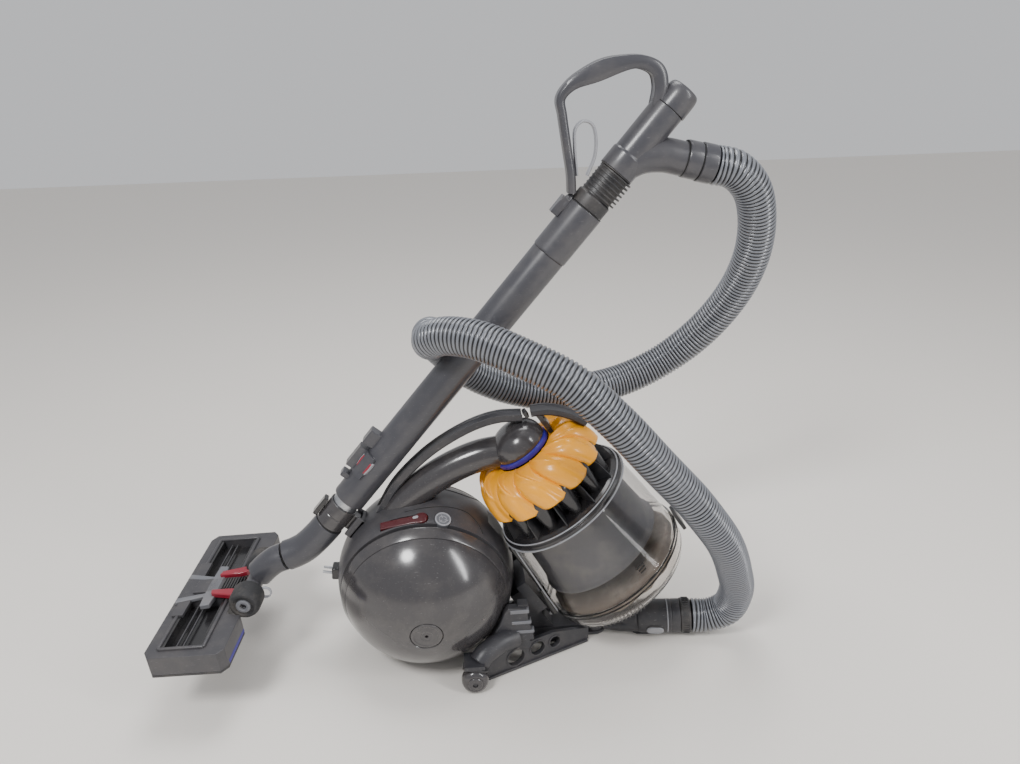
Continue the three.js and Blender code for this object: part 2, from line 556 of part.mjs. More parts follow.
const wheelSpin = (geometry, y) =>
  geometry.rotateX(-Math.PI / 2).translate(TOOL_WHEEL.x, y, TOOL_WHEEL.z);
const toolWheel = [
  [3.6, -8], [17, -8], [TOOL_WHEEL_RADIUS, -5], [TOOL_WHEEL_RADIUS, 5], [17, 8], [3.6, 8],
];
part('tool_wheel_right', wheelSpin(lathe(toolWheel), -TOOL_WHEEL.y), rubber, toolFrame);
part('tool_wheel_left', wheelSpin(lathe(toolWheel), TOOL_WHEEL.y), rubber, toolFrame);
const stemRoute = flat([[-200.5, 169.8], [-213.5, 165.2], [-227, 156], [-240, 144]]);
const yokeStem = into(toolFrame, sweep(stemRoute, ellipse(42, 40, 16), 6));
const yokeAxle = wheelSpin(disc(3, -TOOL_WHEEL.y - 9, TOOL_WHEEL.y + 9, 12), 0);
part('tool_yoke', join(yokeStem, wheelSpin(disc(12, -34, 34, 20), 0), yokeAxle), darkPlastic, toolFrame);

// ---- Hose, in three stretches: to the cuff's side, up to the wand's rear side, and on to the handle ----
const HOSE_FRONT = [
  [395.1, -23, 30.2], [420, -27, 31.5], [446, -34, 47], [453, -48, 88], [438, -72, 140],
  [408, -104, 209], [365, -125.7, 274.5], [358.23, -127.92, 283.69],
];
const HOSE_LOWER = [
  [357.77, -128.08, 284.31], [351, -130.3, 293.5], [304, -138, 349], [250, -138, 412], [195, -127, 463],
  [138, -104, 490], [86, -76, 506], [48, -48, 504], [30, -26, 493], [28, -12, 487], [28, -0.4, 487],
];
const HOSE_UPPER = [
  [28, 0.4, 487], [28, 12, 487], [29, 30, 477], [42, 54, 452], [78, 70, 412], [130, 80, 381],
  [190, 92, 362], [256, 108, 358], [320, 124, 366], [380, 128, 393], [430, 112, 441], [464, 84, 504],
  [474, 52, 566], [467, 26, 622], [449, 8, 664], [421.6, 0, 688.8], [395.8, 0, 695.1],
];
const hoseSection = ellipse(2 * HOSE_RADIUS, 2 * HOSE_RADIUS, 10);
part('hose_front', sweep(HOSE_FRONT, hoseSection, 14), hoseGrey);
part('hose_lower', sweep(HOSE_LOWER, hoseSection, 17), hoseGrey);
part('hose_upper', sweep(HOSE_UPPER, hoseSection, 30), hoseGrey);

export default cleaner;
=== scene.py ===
"""Looks of a canister vacuum cleaner: ball wheels, tilted clear bin, docked wand, floor tool and hose.

Shapes are written in millimetres in the same frames as the CAD part: the cleaner's own, the bin's
(Z up its axis), the wand's (Z up the tube), each wheel's (Z is its axle), the neck's and the tool's.
"""

import json
import math

import bmesh
import bpy
from mathutils import Matrix, Vector

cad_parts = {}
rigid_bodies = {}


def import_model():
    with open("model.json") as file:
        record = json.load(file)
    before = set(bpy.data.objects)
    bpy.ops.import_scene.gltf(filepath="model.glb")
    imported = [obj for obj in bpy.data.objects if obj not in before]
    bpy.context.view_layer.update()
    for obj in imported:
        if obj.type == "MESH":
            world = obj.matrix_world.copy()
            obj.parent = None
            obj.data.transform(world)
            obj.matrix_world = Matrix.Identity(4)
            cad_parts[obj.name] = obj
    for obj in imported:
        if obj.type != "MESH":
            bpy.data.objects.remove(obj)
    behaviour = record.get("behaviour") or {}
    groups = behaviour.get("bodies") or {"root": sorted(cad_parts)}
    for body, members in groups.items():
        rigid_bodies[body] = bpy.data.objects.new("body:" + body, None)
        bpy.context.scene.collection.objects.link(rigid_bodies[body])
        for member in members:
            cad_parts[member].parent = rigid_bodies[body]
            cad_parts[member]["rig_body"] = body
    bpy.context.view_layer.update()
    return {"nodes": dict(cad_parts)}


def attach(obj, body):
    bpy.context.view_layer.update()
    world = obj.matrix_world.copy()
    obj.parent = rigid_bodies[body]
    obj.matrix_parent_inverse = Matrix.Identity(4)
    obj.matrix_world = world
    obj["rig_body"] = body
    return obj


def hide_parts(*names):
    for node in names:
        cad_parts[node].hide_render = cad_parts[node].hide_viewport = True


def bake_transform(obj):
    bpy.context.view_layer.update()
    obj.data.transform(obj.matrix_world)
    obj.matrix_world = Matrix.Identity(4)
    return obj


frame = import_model()

# ---- Frames, from millimetres to the row's metres ----
ORIGIN_SHIFT = (-15.92, -0.03, 0)
TO_ROW = Matrix.Diagonal((0.001, 0.001, 0.001, 1)) @ Matrix.Translation(ORIGIN_SHIFT)
BALL_RADIUS = 128
BALL_HEIGHT = 126.03
WHEEL_TURN = 98  # degrees from the cleaner's Z to each wheel's axle: 90 and the camber


def turned(axis, degrees):
    return Matrix.Rotation(math.radians(degrees), 4, axis)


def at(x, y, z):
    return Matrix.Translation((x, y, z))


CLEANER = TO_ROW
BALL = TO_ROW @ at(0, 0, BALL_HEIGHT)
WHEELS = {"right": BALL @ turned("X", WHEEL_TURN), "left": BALL @ turned("X", -WHEEL_TURN)}
BIN = TO_ROW @ at(145, 0, 320) @ turned("Y", -34)
WAND = TO_ROW @ at(186.8, 0, 592.1) @ turned("Y", 40.6)
BRANCH = WAND @ at(56, 0, 196) @ turned("Y", 63)
NECK = TO_ROW @ at(250, 0, 0) @ turned("Z", -9)
CUFF_ON_NECK = at(66, 0, 26) @ turned("Y", 87)
CUFF = NECK @ at(66, 0, 26) @ turned("Y", 87)
TOOL = TO_ROW @ at(-302, 0, 108) @ turned("Z", -5.5) @ turned("Y", -3.7) @ turned("X", 2)
TOOL_ON_CLEANER = TO_ROW.inverted() @ TOOL
SIDES = (("right", -1), ("left", 1))


def linked(name, data):
    """A new object, in the scene."""
    obj = bpy.data.objects.new(name, data)
    bpy.context.scene.collection.objects.link(obj)
    return obj


# ---- Camera, before anything else is made ----
def make_camera():
    """Eye height of someone standing in front, a little to the right of the ball."""
    yaw, roll = math.radians(4.21), math.radians(-1.7)
    pitch = math.radians(21.3)
    look = Vector((math.sin(yaw) * math.cos(pitch), math.cos(yaw) * math.cos(pitch), -math.sin(pitch)))
    right = Vector((math.cos(yaw), -math.sin(yaw), 0))
    up = right.cross(look)
    right, up = (right * math.cos(roll) + up * math.sin(roll), up * math.cos(roll) - right * math.sin(roll))
    data = bpy.data.cameras.new("camera")
    data.lens = 28.59
    data.sensor_width = 36
    camera = linked("camera", data)
    turn = Matrix((right, up, -look)).transposed().to_4x4()
    camera.matrix_world = Matrix.Translation(TO_ROW @ Vector((56.2, -1020.6, 817.5))) @ turn
    bpy.context.scene.camera = camera


make_camera()


# ---- Nodes and materials ----
MIX_A, MIX_B, MIX_RESULT = 6, 7, 2  # the colour sockets of a Mix node


def feed(tree, made, feeds):
    """Each input gets a value, or a link from another node's output."""
    for key, value in feeds.items():
        if isinstance(value, bpy.types.NodeSocket):
            tree.links.new(value, made.inputs[key])
        else:
            made.inputs[key].default_value = value


def node(tree, kind, feeds=None, **settings):
    made = tree.nodes.new(kind)
    for key, value in settings.items():
        setattr(made, key, value)
    feed(tree, made, feeds or {})
    return made


def new_tree(name, kind, inputs, outputs):
    """A node group with sockets given as {label: type}, and what its input node gives out."""
    tree = bpy.data.node_groups.new(name, kind)
    for way, sockets in (("INPUT", inputs), ("OUTPUT", outputs)):
        for label, socket in sockets.items():
            tree.interface.new_socket(label, in_out=way, socket_type=f"NodeSocket{socket}")
    return tree, tree.nodes.new("NodeGroupInput").outputs


def noise_of(tree, place, scale, detail, rough=0.55):
    feeds = {"Vector": place, "Scale": scale, "Detail": detail, "Roughness": rough}
    return node(tree, "ShaderNodeTexNoise", feeds).outputs["Fac"]


def ramp_of(tree, value, low, high):
    feeds = {"Value": value, "From Min": low, "From Max": high}
    return node(tree, "ShaderNodeMapRange", feeds, clamp=True).outputs["Result"]


def maths(tree, operation, *values, clamp=False):
    feeds = dict(enumerate(values))
    return node(tree, "ShaderNodeMath", feeds, operation=operation, use_clamp=clamp).outputs[0]


def mixed(tree, factor, first, second):
    feeds = {"Factor": factor, MIX_A: first, MIX_B: second}
    return node(tree, "ShaderNodeMix", feeds, data_type="RGBA").outputs[MIX_RESULT]


def moulded_plastic_group():
    """Colour, roughness and height of a moulded plastic that has been used: grain, scuffs and dust."""
    tree, given = new_tree(
        "moulded plastic", "ShaderNodeTree",
        {"Place": "Vector", "Colour": "Color", "Roughness": "Float", "Grain": "Float", "Scuffs": "Float",
         "Dust": "Float"},
        {"Colour": "Color", "Roughness": "Float", "Height": "Float"},
    )
    place = given["Place"]
    grain = noise_of(tree, place, 1400, 2)
    cloud = noise_of(tree, place, 26, 5, 0.62)
    stretch = node(tree, "ShaderNodeMapping", {"Vector": place, "Scale": (9, 60, 60),
        "Rotation": (0.5, 0.9, 0.4)})
    streak = noise_of(tree, stretch.outputs["Vector"], 14, 3, 0.6)
    scuffs = maths(tree, "MULTIPLY", ramp_of(tree, streak, 0.64, 0.72), given["Scuffs"])
    dust = maths(tree, "MULTIPLY", ramp_of(tree, cloud, 0.46, 0.8), given["Dust"])
    scuffed = mixed(tree, scuffs, given["Colour"], (0.30, 0.29, 0.29, 1))
    rougher = maths(tree, "MULTIPLY_ADD", dust, 0.6, given["Roughness"])
    node(tree, "NodeGroupOutput", {
        "Colour": mixed(tree, dust, scuffed, (0.34, 0.30, 0.26, 1)),
        "Roughness": maths(tree, "MULTIPLY_ADD", cloud, 0.12, rougher, clamp=True),
        "Height": maths(tree, "MULTIPLY", grain, given["Grain"]),
    })
    return tree


MOULDED = moulded_plastic_group()


def linear(hue):
    """A colour as seen, 0 to 255 each, as the linear values that a shader takes."""
    def channel(c):
        c = c / 255
        return c / 12.92 if c <= 0.04045 else ((c + 0.055) / 1.055) ** 2.4
    return tuple(channel(c) for c in hue) + (1,)


def new_material(name):
    material = bpy.data.materials.new(name)
    material.use_nodes = True
    tree = material.node_tree
    return material, tree, tree.nodes["Principled BSDF"]


def plastic(name, hue, roughness, grain=0.3, scuffs=0.25, dust=0.2, coat=0.0):
    material, tree, shader = new_material(name)
    group = node(tree, "ShaderNodeGroup", {
        "Place": node(tree, "ShaderNodeTexCoord").outputs["Object"], "Colour": linear(hue),
        "Roughness": roughness, "Grain": grain, "Scuffs": scuffs, "Dust": dust,
    }, node_tree=MOULDED).outputs
    bump = node(tree, "ShaderNodeBump", {"Strength": 0.25, "Distance": 0.0003, "Height": group["Height"]})
    feed(tree, shader, {
        "Base Color": group["Colour"], "Roughness": group["Roughness"], "Normal": bump.outputs["Normal"],
        "Coat Weight": coat, "Coat Roughness": 0.12,
    })
    return material


def steel(name):
    material = plastic(name, (186, 188, 192), 0.28, grain=0.6, scuffs=0.3, dust=0.1)
    material.node_tree.nodes["Principled BSDF"].inputs["Metallic"].default_value = 1.0
    return material


def clear_plastic(name, hue, roughness):
    material, tree, shader = new_material(name)
    haze = noise_of(tree, node(tree, "ShaderNodeTexCoord").outputs["Object"], 18, 5, 0.6)
    spread = node(tree, "ShaderNodeMapRange", {"Value": haze, "To Min": roughness,
        "To Max": roughness + 0.08})
    feed(tree, shader, {
        "Base Color": linear(hue), "Transmission Weight": 1.0, "IOR": 1.16, "Coat Weight": 0.5,
        "Coat Roughness": 0.04, "Roughness": spread.outputs["Result"],
    })
    return material


def ribbed_plastic(name, hue, groove_shade_hue, roughness):
    """Glossy hose plastic whose grooves are coloured near-black as painted shade, by the rib count along
    the mesh's own UV.
    """
    material = plastic(name, hue, roughness, grain=0.05, scuffs=0.0, dust=0.1, coat=0.35)
    tree = material.node_tree
    shader = tree.nodes["Principled BSDF"]
    parts = node(tree, "ShaderNodeSeparateXYZ", {"Vector": node(tree, "ShaderNodeUVMap").outputs["UV"]})
    fraction = maths(tree, "FRACT", parts.outputs["Y"])
    # Painted shade: the band at each end of a rib's UV span, the groove, is mixed towards near-black.
    groove = ramp_of(tree, maths(tree, "ABSOLUTE", maths(tree, "SUBTRACT", fraction, 0.5)), 0.26, 0.36)
    plain = shader.inputs["Base Color"].links[0].from_socket
    feed(tree, shader, {"Base Color": mixed(tree, groove, plain, linear(groove_shade_hue)), "Metallic": 0.25})
    return material


LOOKS = {
    "shell": plastic("glossy shell grey", (56, 54, 56), 0.15, 0.05, 0.25, 0.10, coat=0.5),
    "casing": plastic("casing grey", (64, 63, 66), 0.32, 0.3, 0.3, 0.1),
    "chassis": plastic("chassis grey", (50, 50, 54), 0.36, 0.4, 0.4, 0.12),
    "tube": plastic("tube grey", (62, 62, 67), 0.26, 0.25, 0.2, 0.10, coat=0.2),
    "dark": plastic("dark plastic", (38, 38, 41), 0.34, 0.4, 0.2, 0.2),
    "black": plastic("black plastic", (30, 29, 31), 0.2, 0.2, 0.08, 0.06, coat=0.4),
    "seam": plastic("black for seams and painted shade", (12, 12, 13), 0.6, 0.3, 0.0, 0.03),
    "light": plastic("light grey plastic", (150, 151, 156), 0.36, 0.4, 0.15, 0.12),
    "bracket": plastic("bracket grey", (104, 105, 110), 0.38, 0.5, 0.2, 0.2),
    "yellow": plastic("warm yellow plastic", (238, 160, 8), 0.27, 0.2, 0.02, 0.06, coat=0.3),
    "purple": plastic("purple plastic", (40, 28, 140), 0.34, 0.3, 0.03, 0.05),
    "burgundy": plastic("burgundy plastic", (70, 8, 18), 0.24, 0.2, 0.04, 0.06, coat=0.3),
    "red": plastic("red plastic", (140, 18, 42), 0.22, 0.2, 0.04, 0.05, coat=0.5),
    "rubber": plastic("tyre rubber", (38, 38, 40), 0.65, 0.8, 0.2, 0.3),
    # The hose's second, near-black colour is painted shade for its grooves.
    "hose": ribbed_plastic("hose grey with painted groove shade", (118, 121, 128), (22, 23, 26), 0.26),
    "fluff": plastic("packed dust", (116, 104, 93), 0.95, 1.0, 0.0, 0.9),
    "shroud": plastic("shroud grey", (80, 80, 84), 0.4, 0.05, 0.1, 0.4),
    "steel": steel("satin steel"),
    "clear": clear_plastic("clear bin plastic", (240, 239, 238), 0.03),
    "clear lid": clear_plastic("clear lid plastic", (246, 243, 240), 0.08),
}


# ---- Shapes: lists of points and faces in millimetres ----
def lathe(profile, segments=96):
    """A turned body about Z. The profile runs from the axis back to it, or closes on itself."""
    closed = profile[0][0] > 1e-6
    rows, points, faces = [], [], []
    for radius, height in profile:
        if radius < 1e-6:
            rows.append([len(points)] * segments)
            points.append((0, 0, height))
            continue
        rows.append(list(range(len(points), len(points) + segments)))
        for i in range(segments):
            angle = math.tau * i / segments
            points.append((radius * math.cos(angle), radius * math.sin(angle), height))
    pairs = list(zip(rows, rows[1:] + rows[:1])) if closed else list(zip(rows, rows[1:]))
    for low, high in pairs:
        for i in range(segments):
            j = (i + 1) % segments
            face = [low[i], low[j], high[j], high[i]]
            face = [v for k, v in enumerate(face) if v != face[k - 1]]
            if len(face) > 2:
                faces.append(face)
    return points, faces


def rounded(corners, steps=4):
    """Profile corners given as (radius, height, round), each rounded off with an arc-like curve."""
    out = []
    count = len(corners)
    for i, corner in enumerate(corners):
        r = corner[2] if len(corner) > 2 else 0
        here = Vector(corner[:2])
        if r <= 0 or i in (0, count - 1):
            out.append(tuple(here))
            continue
        before = (Vector(corners[i - 1][:2]) - here).normalized() * r + here
        after = (Vector(corners[(i + 1) % count][:2]) - here).normalized() * r + here
        for k in range(steps + 1):
            t = k / steps
            out.append(tuple(before * (1 - t) ** 2 + here * 2 * t * (1 - t) + after * t * t))
    return out


def spun(corners, segments=96, steps=4):
    return lathe(rounded(corners, steps), segments)


def disc(radius, low, high, edge=0.8, segments=64):
    return spun([(0, low), (radius, low, edge), (radius, high, edge), (0, high)], segments)


def ring(outer, inner, low, high, edge=0.5, segments=96):
    corners = [(inner, low), (outer, low, edge), (outer, high, edge), (inner, high)]
    return spun(corners, segments)


def arc(radius, low, high, steps=24):
    heights = [low + (high - low) * i / steps for i in range(steps + 1)]
    return [(math.sqrt(radius * radius - z * z), z) for z in heights]


def box(x0, x1, y0, y1, z0, z1):
    points = [(x, y, z) for z in (z0, z1) for x, y in ((x0, y0), (x1, y0), (x1, y1), (x0, y1))]
    sides = [[0, 1, 5, 4], [1, 2, 6, 5], [2, 3, 7, 6], [3, 0, 4, 7]]
    return points, [[3, 2, 1, 0], [4, 5, 6, 7], *sides]


def prism(outline, low, high):
    count = len(outline)
    points = [(x, y, low) for x, y in outline] + [(x, y, high) for x, y in outline]
    sides = [[i, (i + 1) % count, (i + 1) % count + count, i + count] for i in range(count)]
    return points, [list(range(count))[::-1], list(range(count, 2 * count)), *sides]


def capsule(length, width, steps=16):
    """An oblong outline, its long side along X."""
    half, r = (length - width) / 2, width / 2
    ends = [(half, -90), (-half, 90)]
    angles = [(x, math.radians(first + 180 * i / steps)) for x, first in ends for i in range(steps + 1)]
    return [(x + r * math.cos(angle), r * math.sin(angle)) for x, angle in angles]


def smooth_curve(points, steps):
    """Points at even steps of length along the smooth curve through the given ones."""
    p = [Vector(q) for q in points]
    p = [p[0] * 2 - p[1], *p, p[-1] * 2 - p[-2]]
    dense = []
    for i in range(1, len(p) - 2):
        t = [0.0]
        for a, b in zip(p[i - 1:i + 2], p[i:i + 3]):
            t.append(t[-1] + max((b - a).length, 1e-6) ** 0.5)
        for k in range(24):
            u = t[1] + (t[2] - t[1]) * k / 24
            a = [p[i - 1 + j] * ((t[j + 1] - u) / (t[j + 1] - t[j])) + p[i + j]
                * ((u - t[j]) / (t[j + 1] - t[j])) for j in range(3)]
            b = [a[j] * ((t[j + 2] - u) / (t[j + 2] - t[j])) + a[j + 1] * ((u - t[j]) / (t[j + 2] - t[j]))
                for j in range(2)]
            dense.append(b[0] * ((t[2] - u) / (t[2] - t[1])) + b[1] * ((u - t[1]) / (t[2] - t[1])))
    dense.append(p[-2])
    far = [0.0]
    for a, b in zip(dense, dense[1:]):
        far.append(far[-1] + (b - a).length)
    out, k = [], 0
    for i in range(steps + 1):
        want = far[-1] * i / steps
        while k < len(far) - 2 and far[k + 1] < want:
            k += 1
        span = far[k + 1] - far[k]
        out.append(dense[k].lerp(dense[k + 1], min(1, (want - far[k]) / span)))
    return out, far[-1]


def tube_frames(line, side=(0, 1, 0)):
    """Two directions square to the line at each point, turning as little as they can."""
    frames = []
    across = Vector(side)
    for i, here in enumerate(line):
        ahead = (line[min(i + 1, len(line) - 1)] - line[max(i - 1, 0)]).normalized()
        across = (across - ahead * across.dot(ahead)).normalized()
        frames.append((across.copy(), ahead.cross(across)))
    return frames


def sweep(route, section, steps=60, scale=lambda t: (1.0, 1.0)):
    """A closed section carried along a smooth curve: its first value runs along the cleaner's Y."""
    line, _ = smooth_curve(route, steps)
    points, faces, count = [], [], len(section)
    for i, (here, (across, over)) in enumerate(zip(line, tube_frames(line))):
        wide, tall = scale(i / steps)
        points += [tuple(here + across * (u * wide) + over * (w * tall)) for u, w in section]
    for i in range(steps):
        for j in range(count):
            a, b = i * count + j, i * count + (j + 1) % count
            faces.append([a, b, b + count, a + count])
    faces.append(list(range(count))[::-1])
    faces.append([steps * count + j for j in range(count)])
    return points, faces


def oval(width, height, sides=40):
    return [(width / 2 * math.cos(math.tau * i / sides), height / 2 * math.sin(math.tau * i / sides))
        for i in range(sides)]


def moved(shape, place):
    points, faces = shape
    return [tuple(place @ Vector(p)) for p in points], faces


def flat(points):
    return [(x, 0, z) for x, z in points]


def wand_points(points):
    """(along the wand, across it) as points in the wand's frame."""
    return [(v, 0, s) for s, v in points]


# ---- Pieces ----
def mesh_of(name, shapes, place):
    mesh = bpy.data.meshes.new(name)
    points, faces = [], []
    for more_points, more_faces in shapes:
        first = len(points)
        points += [tuple(place @ Vector(p)) for p in more_points]
        faces += [[v + first for v in f] for f in more_faces]
    mesh.from_pydata(points, [], faces)
    bm = bmesh.new()
    bm.from_mesh(mesh)
    bmesh.ops.recalc_face_normals(bm, faces=bm.faces)
    bm.to_mesh(mesh)
    bm.free()
    return mesh


def finish_piece(obj, look, body, stands_for=(), bevel=0.0, crease=32):
    mesh = obj.data
    mesh.polygons.foreach_set("use_smooth", [True] * len(mesh.polygons))
    mesh.set_sharp_from_angle(angle=math.radians(crease))
    mesh.materials.clear()
    mesh.materials.append(LOOKS[look])
    if bevel:
        edge = obj.modifiers.new("edge", "BEVEL")
        edge.width = bevel / 1000
        edge.segments = 3
        edge.limit_method = "ANGLE"
        edge.angle_limit = math.radians(35)
    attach(obj, body)
    if stands_for:
        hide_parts(*stands_for)
    return obj


def piece(name, shapes, place, look, body, stands_for=(), bevel=0.0, crease=32):
    obj = linked(name, mesh_of(name, shapes, place))
    return finish_piece(obj, look, body, stands_for, bevel, crease)


def dressed(node_name, name, look, bevel=0.8, crease=32):
    """A merged copy of a CAD node with rounded edges, in place of it."""
    source = frame["nodes"][node_name]
    mesh = source.data.copy()
    bm = bmesh.new()
    bm.from_mesh(mesh)
    bmesh.ops.remove_doubles(bm, verts=bm.verts, dist=1e-6)
    bmesh.ops.dissolve_limit(bm, angle_limit=math.radians(1), verts=bm.verts, edges=bm.edges)
    bm.to_mesh(mesh)
    bm.free()
    obj = linked(name, mesh)
    return finish_piece(obj, look, source["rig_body"], (node_name,), bevel, crease)


def baked(obj):
    """The object's mesh with its modifiers applied, and the object with none left."""
    bpy.context.view_layer.update()
    evaluated = obj.evaluated_get(bpy.context.evaluated_depsgraph_get())
    mesh = bpy.data.meshes.new_from_object(evaluated)
    obj.modifiers.clear()
    obj.data = mesh
    return obj


def carved(name, shapes, place, cutters):
    """A solid with other solids cut away."""
    obj = linked(name, mesh_of(name, shapes, place))
    tools = []
    for shape, cutter_place in cutters:
        tool = linked("cutter", mesh_of("cutter", [shape], cutter_place))
        cut = obj.modifiers.new("cut", "BOOLEAN")
        cut.operation = "DIFFERENCE"
        cut.solver = "EXACT"
        cut.object = tool
        tools.append(tool)
    baked(obj)
    for tool in tools:
        bpy.data.objects.remove(tool)
    return obj


# ---- Geometry node trees for what repeats ----
def repeat_tree(name, round_axis):
    """Copies of an item, in a ring round Z or in a row along Z, made real and given a material."""
    tree, given = new_tree(
        name, "GeometryNodeTree",
        {"Geometry": "Geometry", "Item": "Object", "Count": "Int", "Spread": "Float", "Start": "Float",
         "Finish": "Material"},
        {"Geometry": "Geometry"},
    )
    item = node(tree, "GeometryNodeObjectInfo", {"Object": given["Item"]}).outputs["Geometry"]
    line = node(tree, "GeometryNodeMeshLine", {"Count": given["Count"], "Offset": (0, 0, 0)}, mode="OFFSET")
    copies = node(tree, "GeometryNodeInstanceOnPoints", {"Points": line.outputs["Mesh"], "Instance": item})
    index = node(tree, "GeometryNodeInputIndex").outputs[0]
    amount = maths(tree, "MULTIPLY_ADD", index, given["Spread"], given["Start"])
    vector = node(tree, "ShaderNodeCombineXYZ", {"Z": amount}).outputs[0]
    if round_axis:
        feed(tree, copies, {"Rotation": vector})
    else:
        feeds = {"Instances": copies.outputs["Instances"], "Translation": vector}
        copies = node(tree, "GeometryNodeTranslateInstances", feeds)
    real = node(tree, "GeometryNodeRealizeInstances", {"Geometry": copies.outputs["Instances"]})
    feeds = {"Geometry": real.outputs["Geometry"], "Material": given["Finish"]}
    finish = node(tree, "GeometryNodeSetMaterial", feeds)
    node(tree, "NodeGroupOutput", {"Geometry": finish.outputs["Geometry"]})
    return tree


RING_TREE = repeat_tree("ring of items", True)
ROW_TREE = repeat_tree("row of items", False)


def repeated(tree, name, item_shapes, count, spread, start, place, look, body, slot=None, stands_for=(),
        crease=32):
    """Copies of one small shape, through a geometry node tree, as one plain mesh."""
    item = linked("item", mesh_of("item", item_shapes, Matrix.Identity(4)))
    obj = linked(name, bpy.data.meshes.new(name))
    modifier = obj.modifiers.new("repeat", "NODES")
    modifier.node_group = tree
    values = {"Item": item, "Count": count, "Spread": spread, "Start": start, "Finish": LOOKS[look]}
    for socket in tree.interface.items_tree:
        if socket.in_out == "INPUT" and socket.name in values:
            modifier[socket.identifier] = values[socket.name]
    baked(obj)
    bpy.data.objects.remove(item)
    obj.data.transform(place)
    return finish_piece(obj, look, body, stands_for, crease=crease)


def ring_of(name, item_shapes, count, place, look, body, start=0.0, **more):
    return repeated(RING_TREE, name, item_shapes, count, math.tau / count, start, place, look, body, **more)


def row_of(name, item_shapes, count, spacing, place, look, body, start=0.0, **more):
    return repeated(ROW_TREE, name, item_shapes, count, spacing, start, place, look, body, **more)


# ---- Hose ----
HOSE_RADIUS = 25
RIB_PITCH = 5.6
RIB_DEPTH = 2.6
HOSE_ROUTES = {
    "front": [
        (395.1, -23, 30.2), (420, -27, 31.5), (446, -34, 47), (453, -48, 88), (438, -72, 140),
        (408, -104, 209), (365, -125.7, 274.5), (358.23, -127.92, 283.69),
    ],
    "lower": [
        (357.77, -128.08, 284.31), (351, -130.3, 293.5), (304, -138, 349), (250, -138, 412),
        (195, -127, 463), (138, -104, 490), (86, -76, 506), (48, -48, 504), (30, -26, 493),
        (28, -12, 487), (28, -0.4, 487),
    ],
    "upper": [
        (28, 0.4, 487), (28, 12, 487), (29, 30, 477), (42, 54, 452), (78, 70, 412), (130, 80, 381),
        (190, 92, 362), (256, 108, 358), (320, 124, 366), (380, 128, 393), (430, 112, 441), (464, 84, 504),
        (474, 52, 566), (467, 26, 622), (449, 8, 664), (421.6, 0, 688.8), (395.8, 0, 695.1),
    ],
}


def hose_stretch(name, side):
    """One stretch of ribbed hose, whose rib pattern starts and ends in a groove."""
    route = HOSE_ROUTES[name]
    _, length = smooth_curve(route, 10)
    ribs = round(length / RIB_PITCH)
    per_rib, sides = 6, 36
    steps = ribs * per_rib
    line, _ = smooth_curve(route, steps)
    heights = [0.0, 0.55, 0.95, 1.0, 0.95, 0.55]
    points, faces = [], []
    for i, (here, (across, over)) in enumerate(zip(line, tube_frames(line, side))):
        radius = HOSE_RADIUS - RIB_DEPTH * (1 - heights[i % per_rib])
        for j in range(sides):
            angle = math.tau * j / sides
            points.append(tuple(here + (across * math.cos(angle) + over * math.sin(angle)) * radius))
    for i in range(steps):
        for j in range(sides):
            a, b = i * sides + j, i * sides + (j + 1) % sides
            faces.append([a, b, b + sides, a + sides])
    faces.append(list(range(sides))[::-1])
    faces.append([steps * sides + j for j in range(sides)])
    obj = linked(f"ribbed_hose_{name}", mesh_of(name, [(points, faces)], CLEANER))
    mesh = obj.data
    mesh.polygons.foreach_set("use_smooth", [True] * len(mesh.polygons))
    # The UV's V counts ribs, for the painted groove shade.
    uv = mesh.uv_layers.new(name="UVMap")
    for loop in mesh.loops:
        row, column = divmod(loop.vertex_index, sides)
        uv.data[loop.index].uv = (column / sides, row / per_rib)
    mesh.materials.append(LOOKS["hose"])
    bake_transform(obj)
    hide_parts(f"hose_{name}")
    return obj


for stretch in HOSE_ROUTES:
    hose_stretch(stretch, (0, 0, 1) if stretch == "front" else (1, 0, 0))


# ---- Ball wheels ----
def ball_wheel(side):
    body, place = f"wheel_{side}", WHEELS[side]
    shell = [
        (112, 59), *arc(BALL_RADIUS, 60.5, 121.6, 48), (23, 126.3), (22.4, 125.6),
        (22.4, 121.4), (7, 121.4), (7, 62), (14, 62), (14, 117), (30, 117),
        *arc(BALL_RADIUS - 4, 112, 59, 12),
    ]
    piece(f"ball_shell_{side}", [lathe(shell, 160)], place, "shell", body,
        (f"wheel_shell_{side}",))
    tread = [(112, 44.2), (119.6, 44), (120.4, 44.6), (120.8, 46), (120.2, 48), (117.4, 52.2),
        (114.2, 58.6), (113.2, 59.6), (109, 59)]
    piece(f"tread_band_{side}", [lathe(tread, 160)], place, "shell", body)
    groove = ring(116.2, 112, 44.4, 45.2)
    piece(f"tread_lining_{side}", [groove], place, "seam", body)
    cap = rounded([(2.4, 122), (21.6, 122, 0.4), (21.6, 125.9, 0.8), (18, 126.9, 0.6), (16.5, 126.1, 0.6),
        (9, 127.2, 0.8), (7, 126.2, 0.6), (2.4, 126.6)])
    piece(f"ball_cap_{side}", [lathe(cap, 64)], place, "shell", body, (f"hub_cap_{side}",))
    dressed(f"wheel_axle_{side}", f"ball_axle_{side}", "steel", 0.5)


for side in WHEELS:
    ball_wheel(side)


# ---- Casing between the wheels ----
CASING_HALF = 39.5
FAR = 150  # past every edge of the ball
FLOOR = -BALL_HEIGHT
CASING_SPLIT = -20
RIM_RADIUS = 102


def half_turned(side, near, far):
    return moved(box(-160, 160, -160, 160, near, far),
        turned("X", WHEEL_TURN if side == "right" else -WHEEL_TURN))


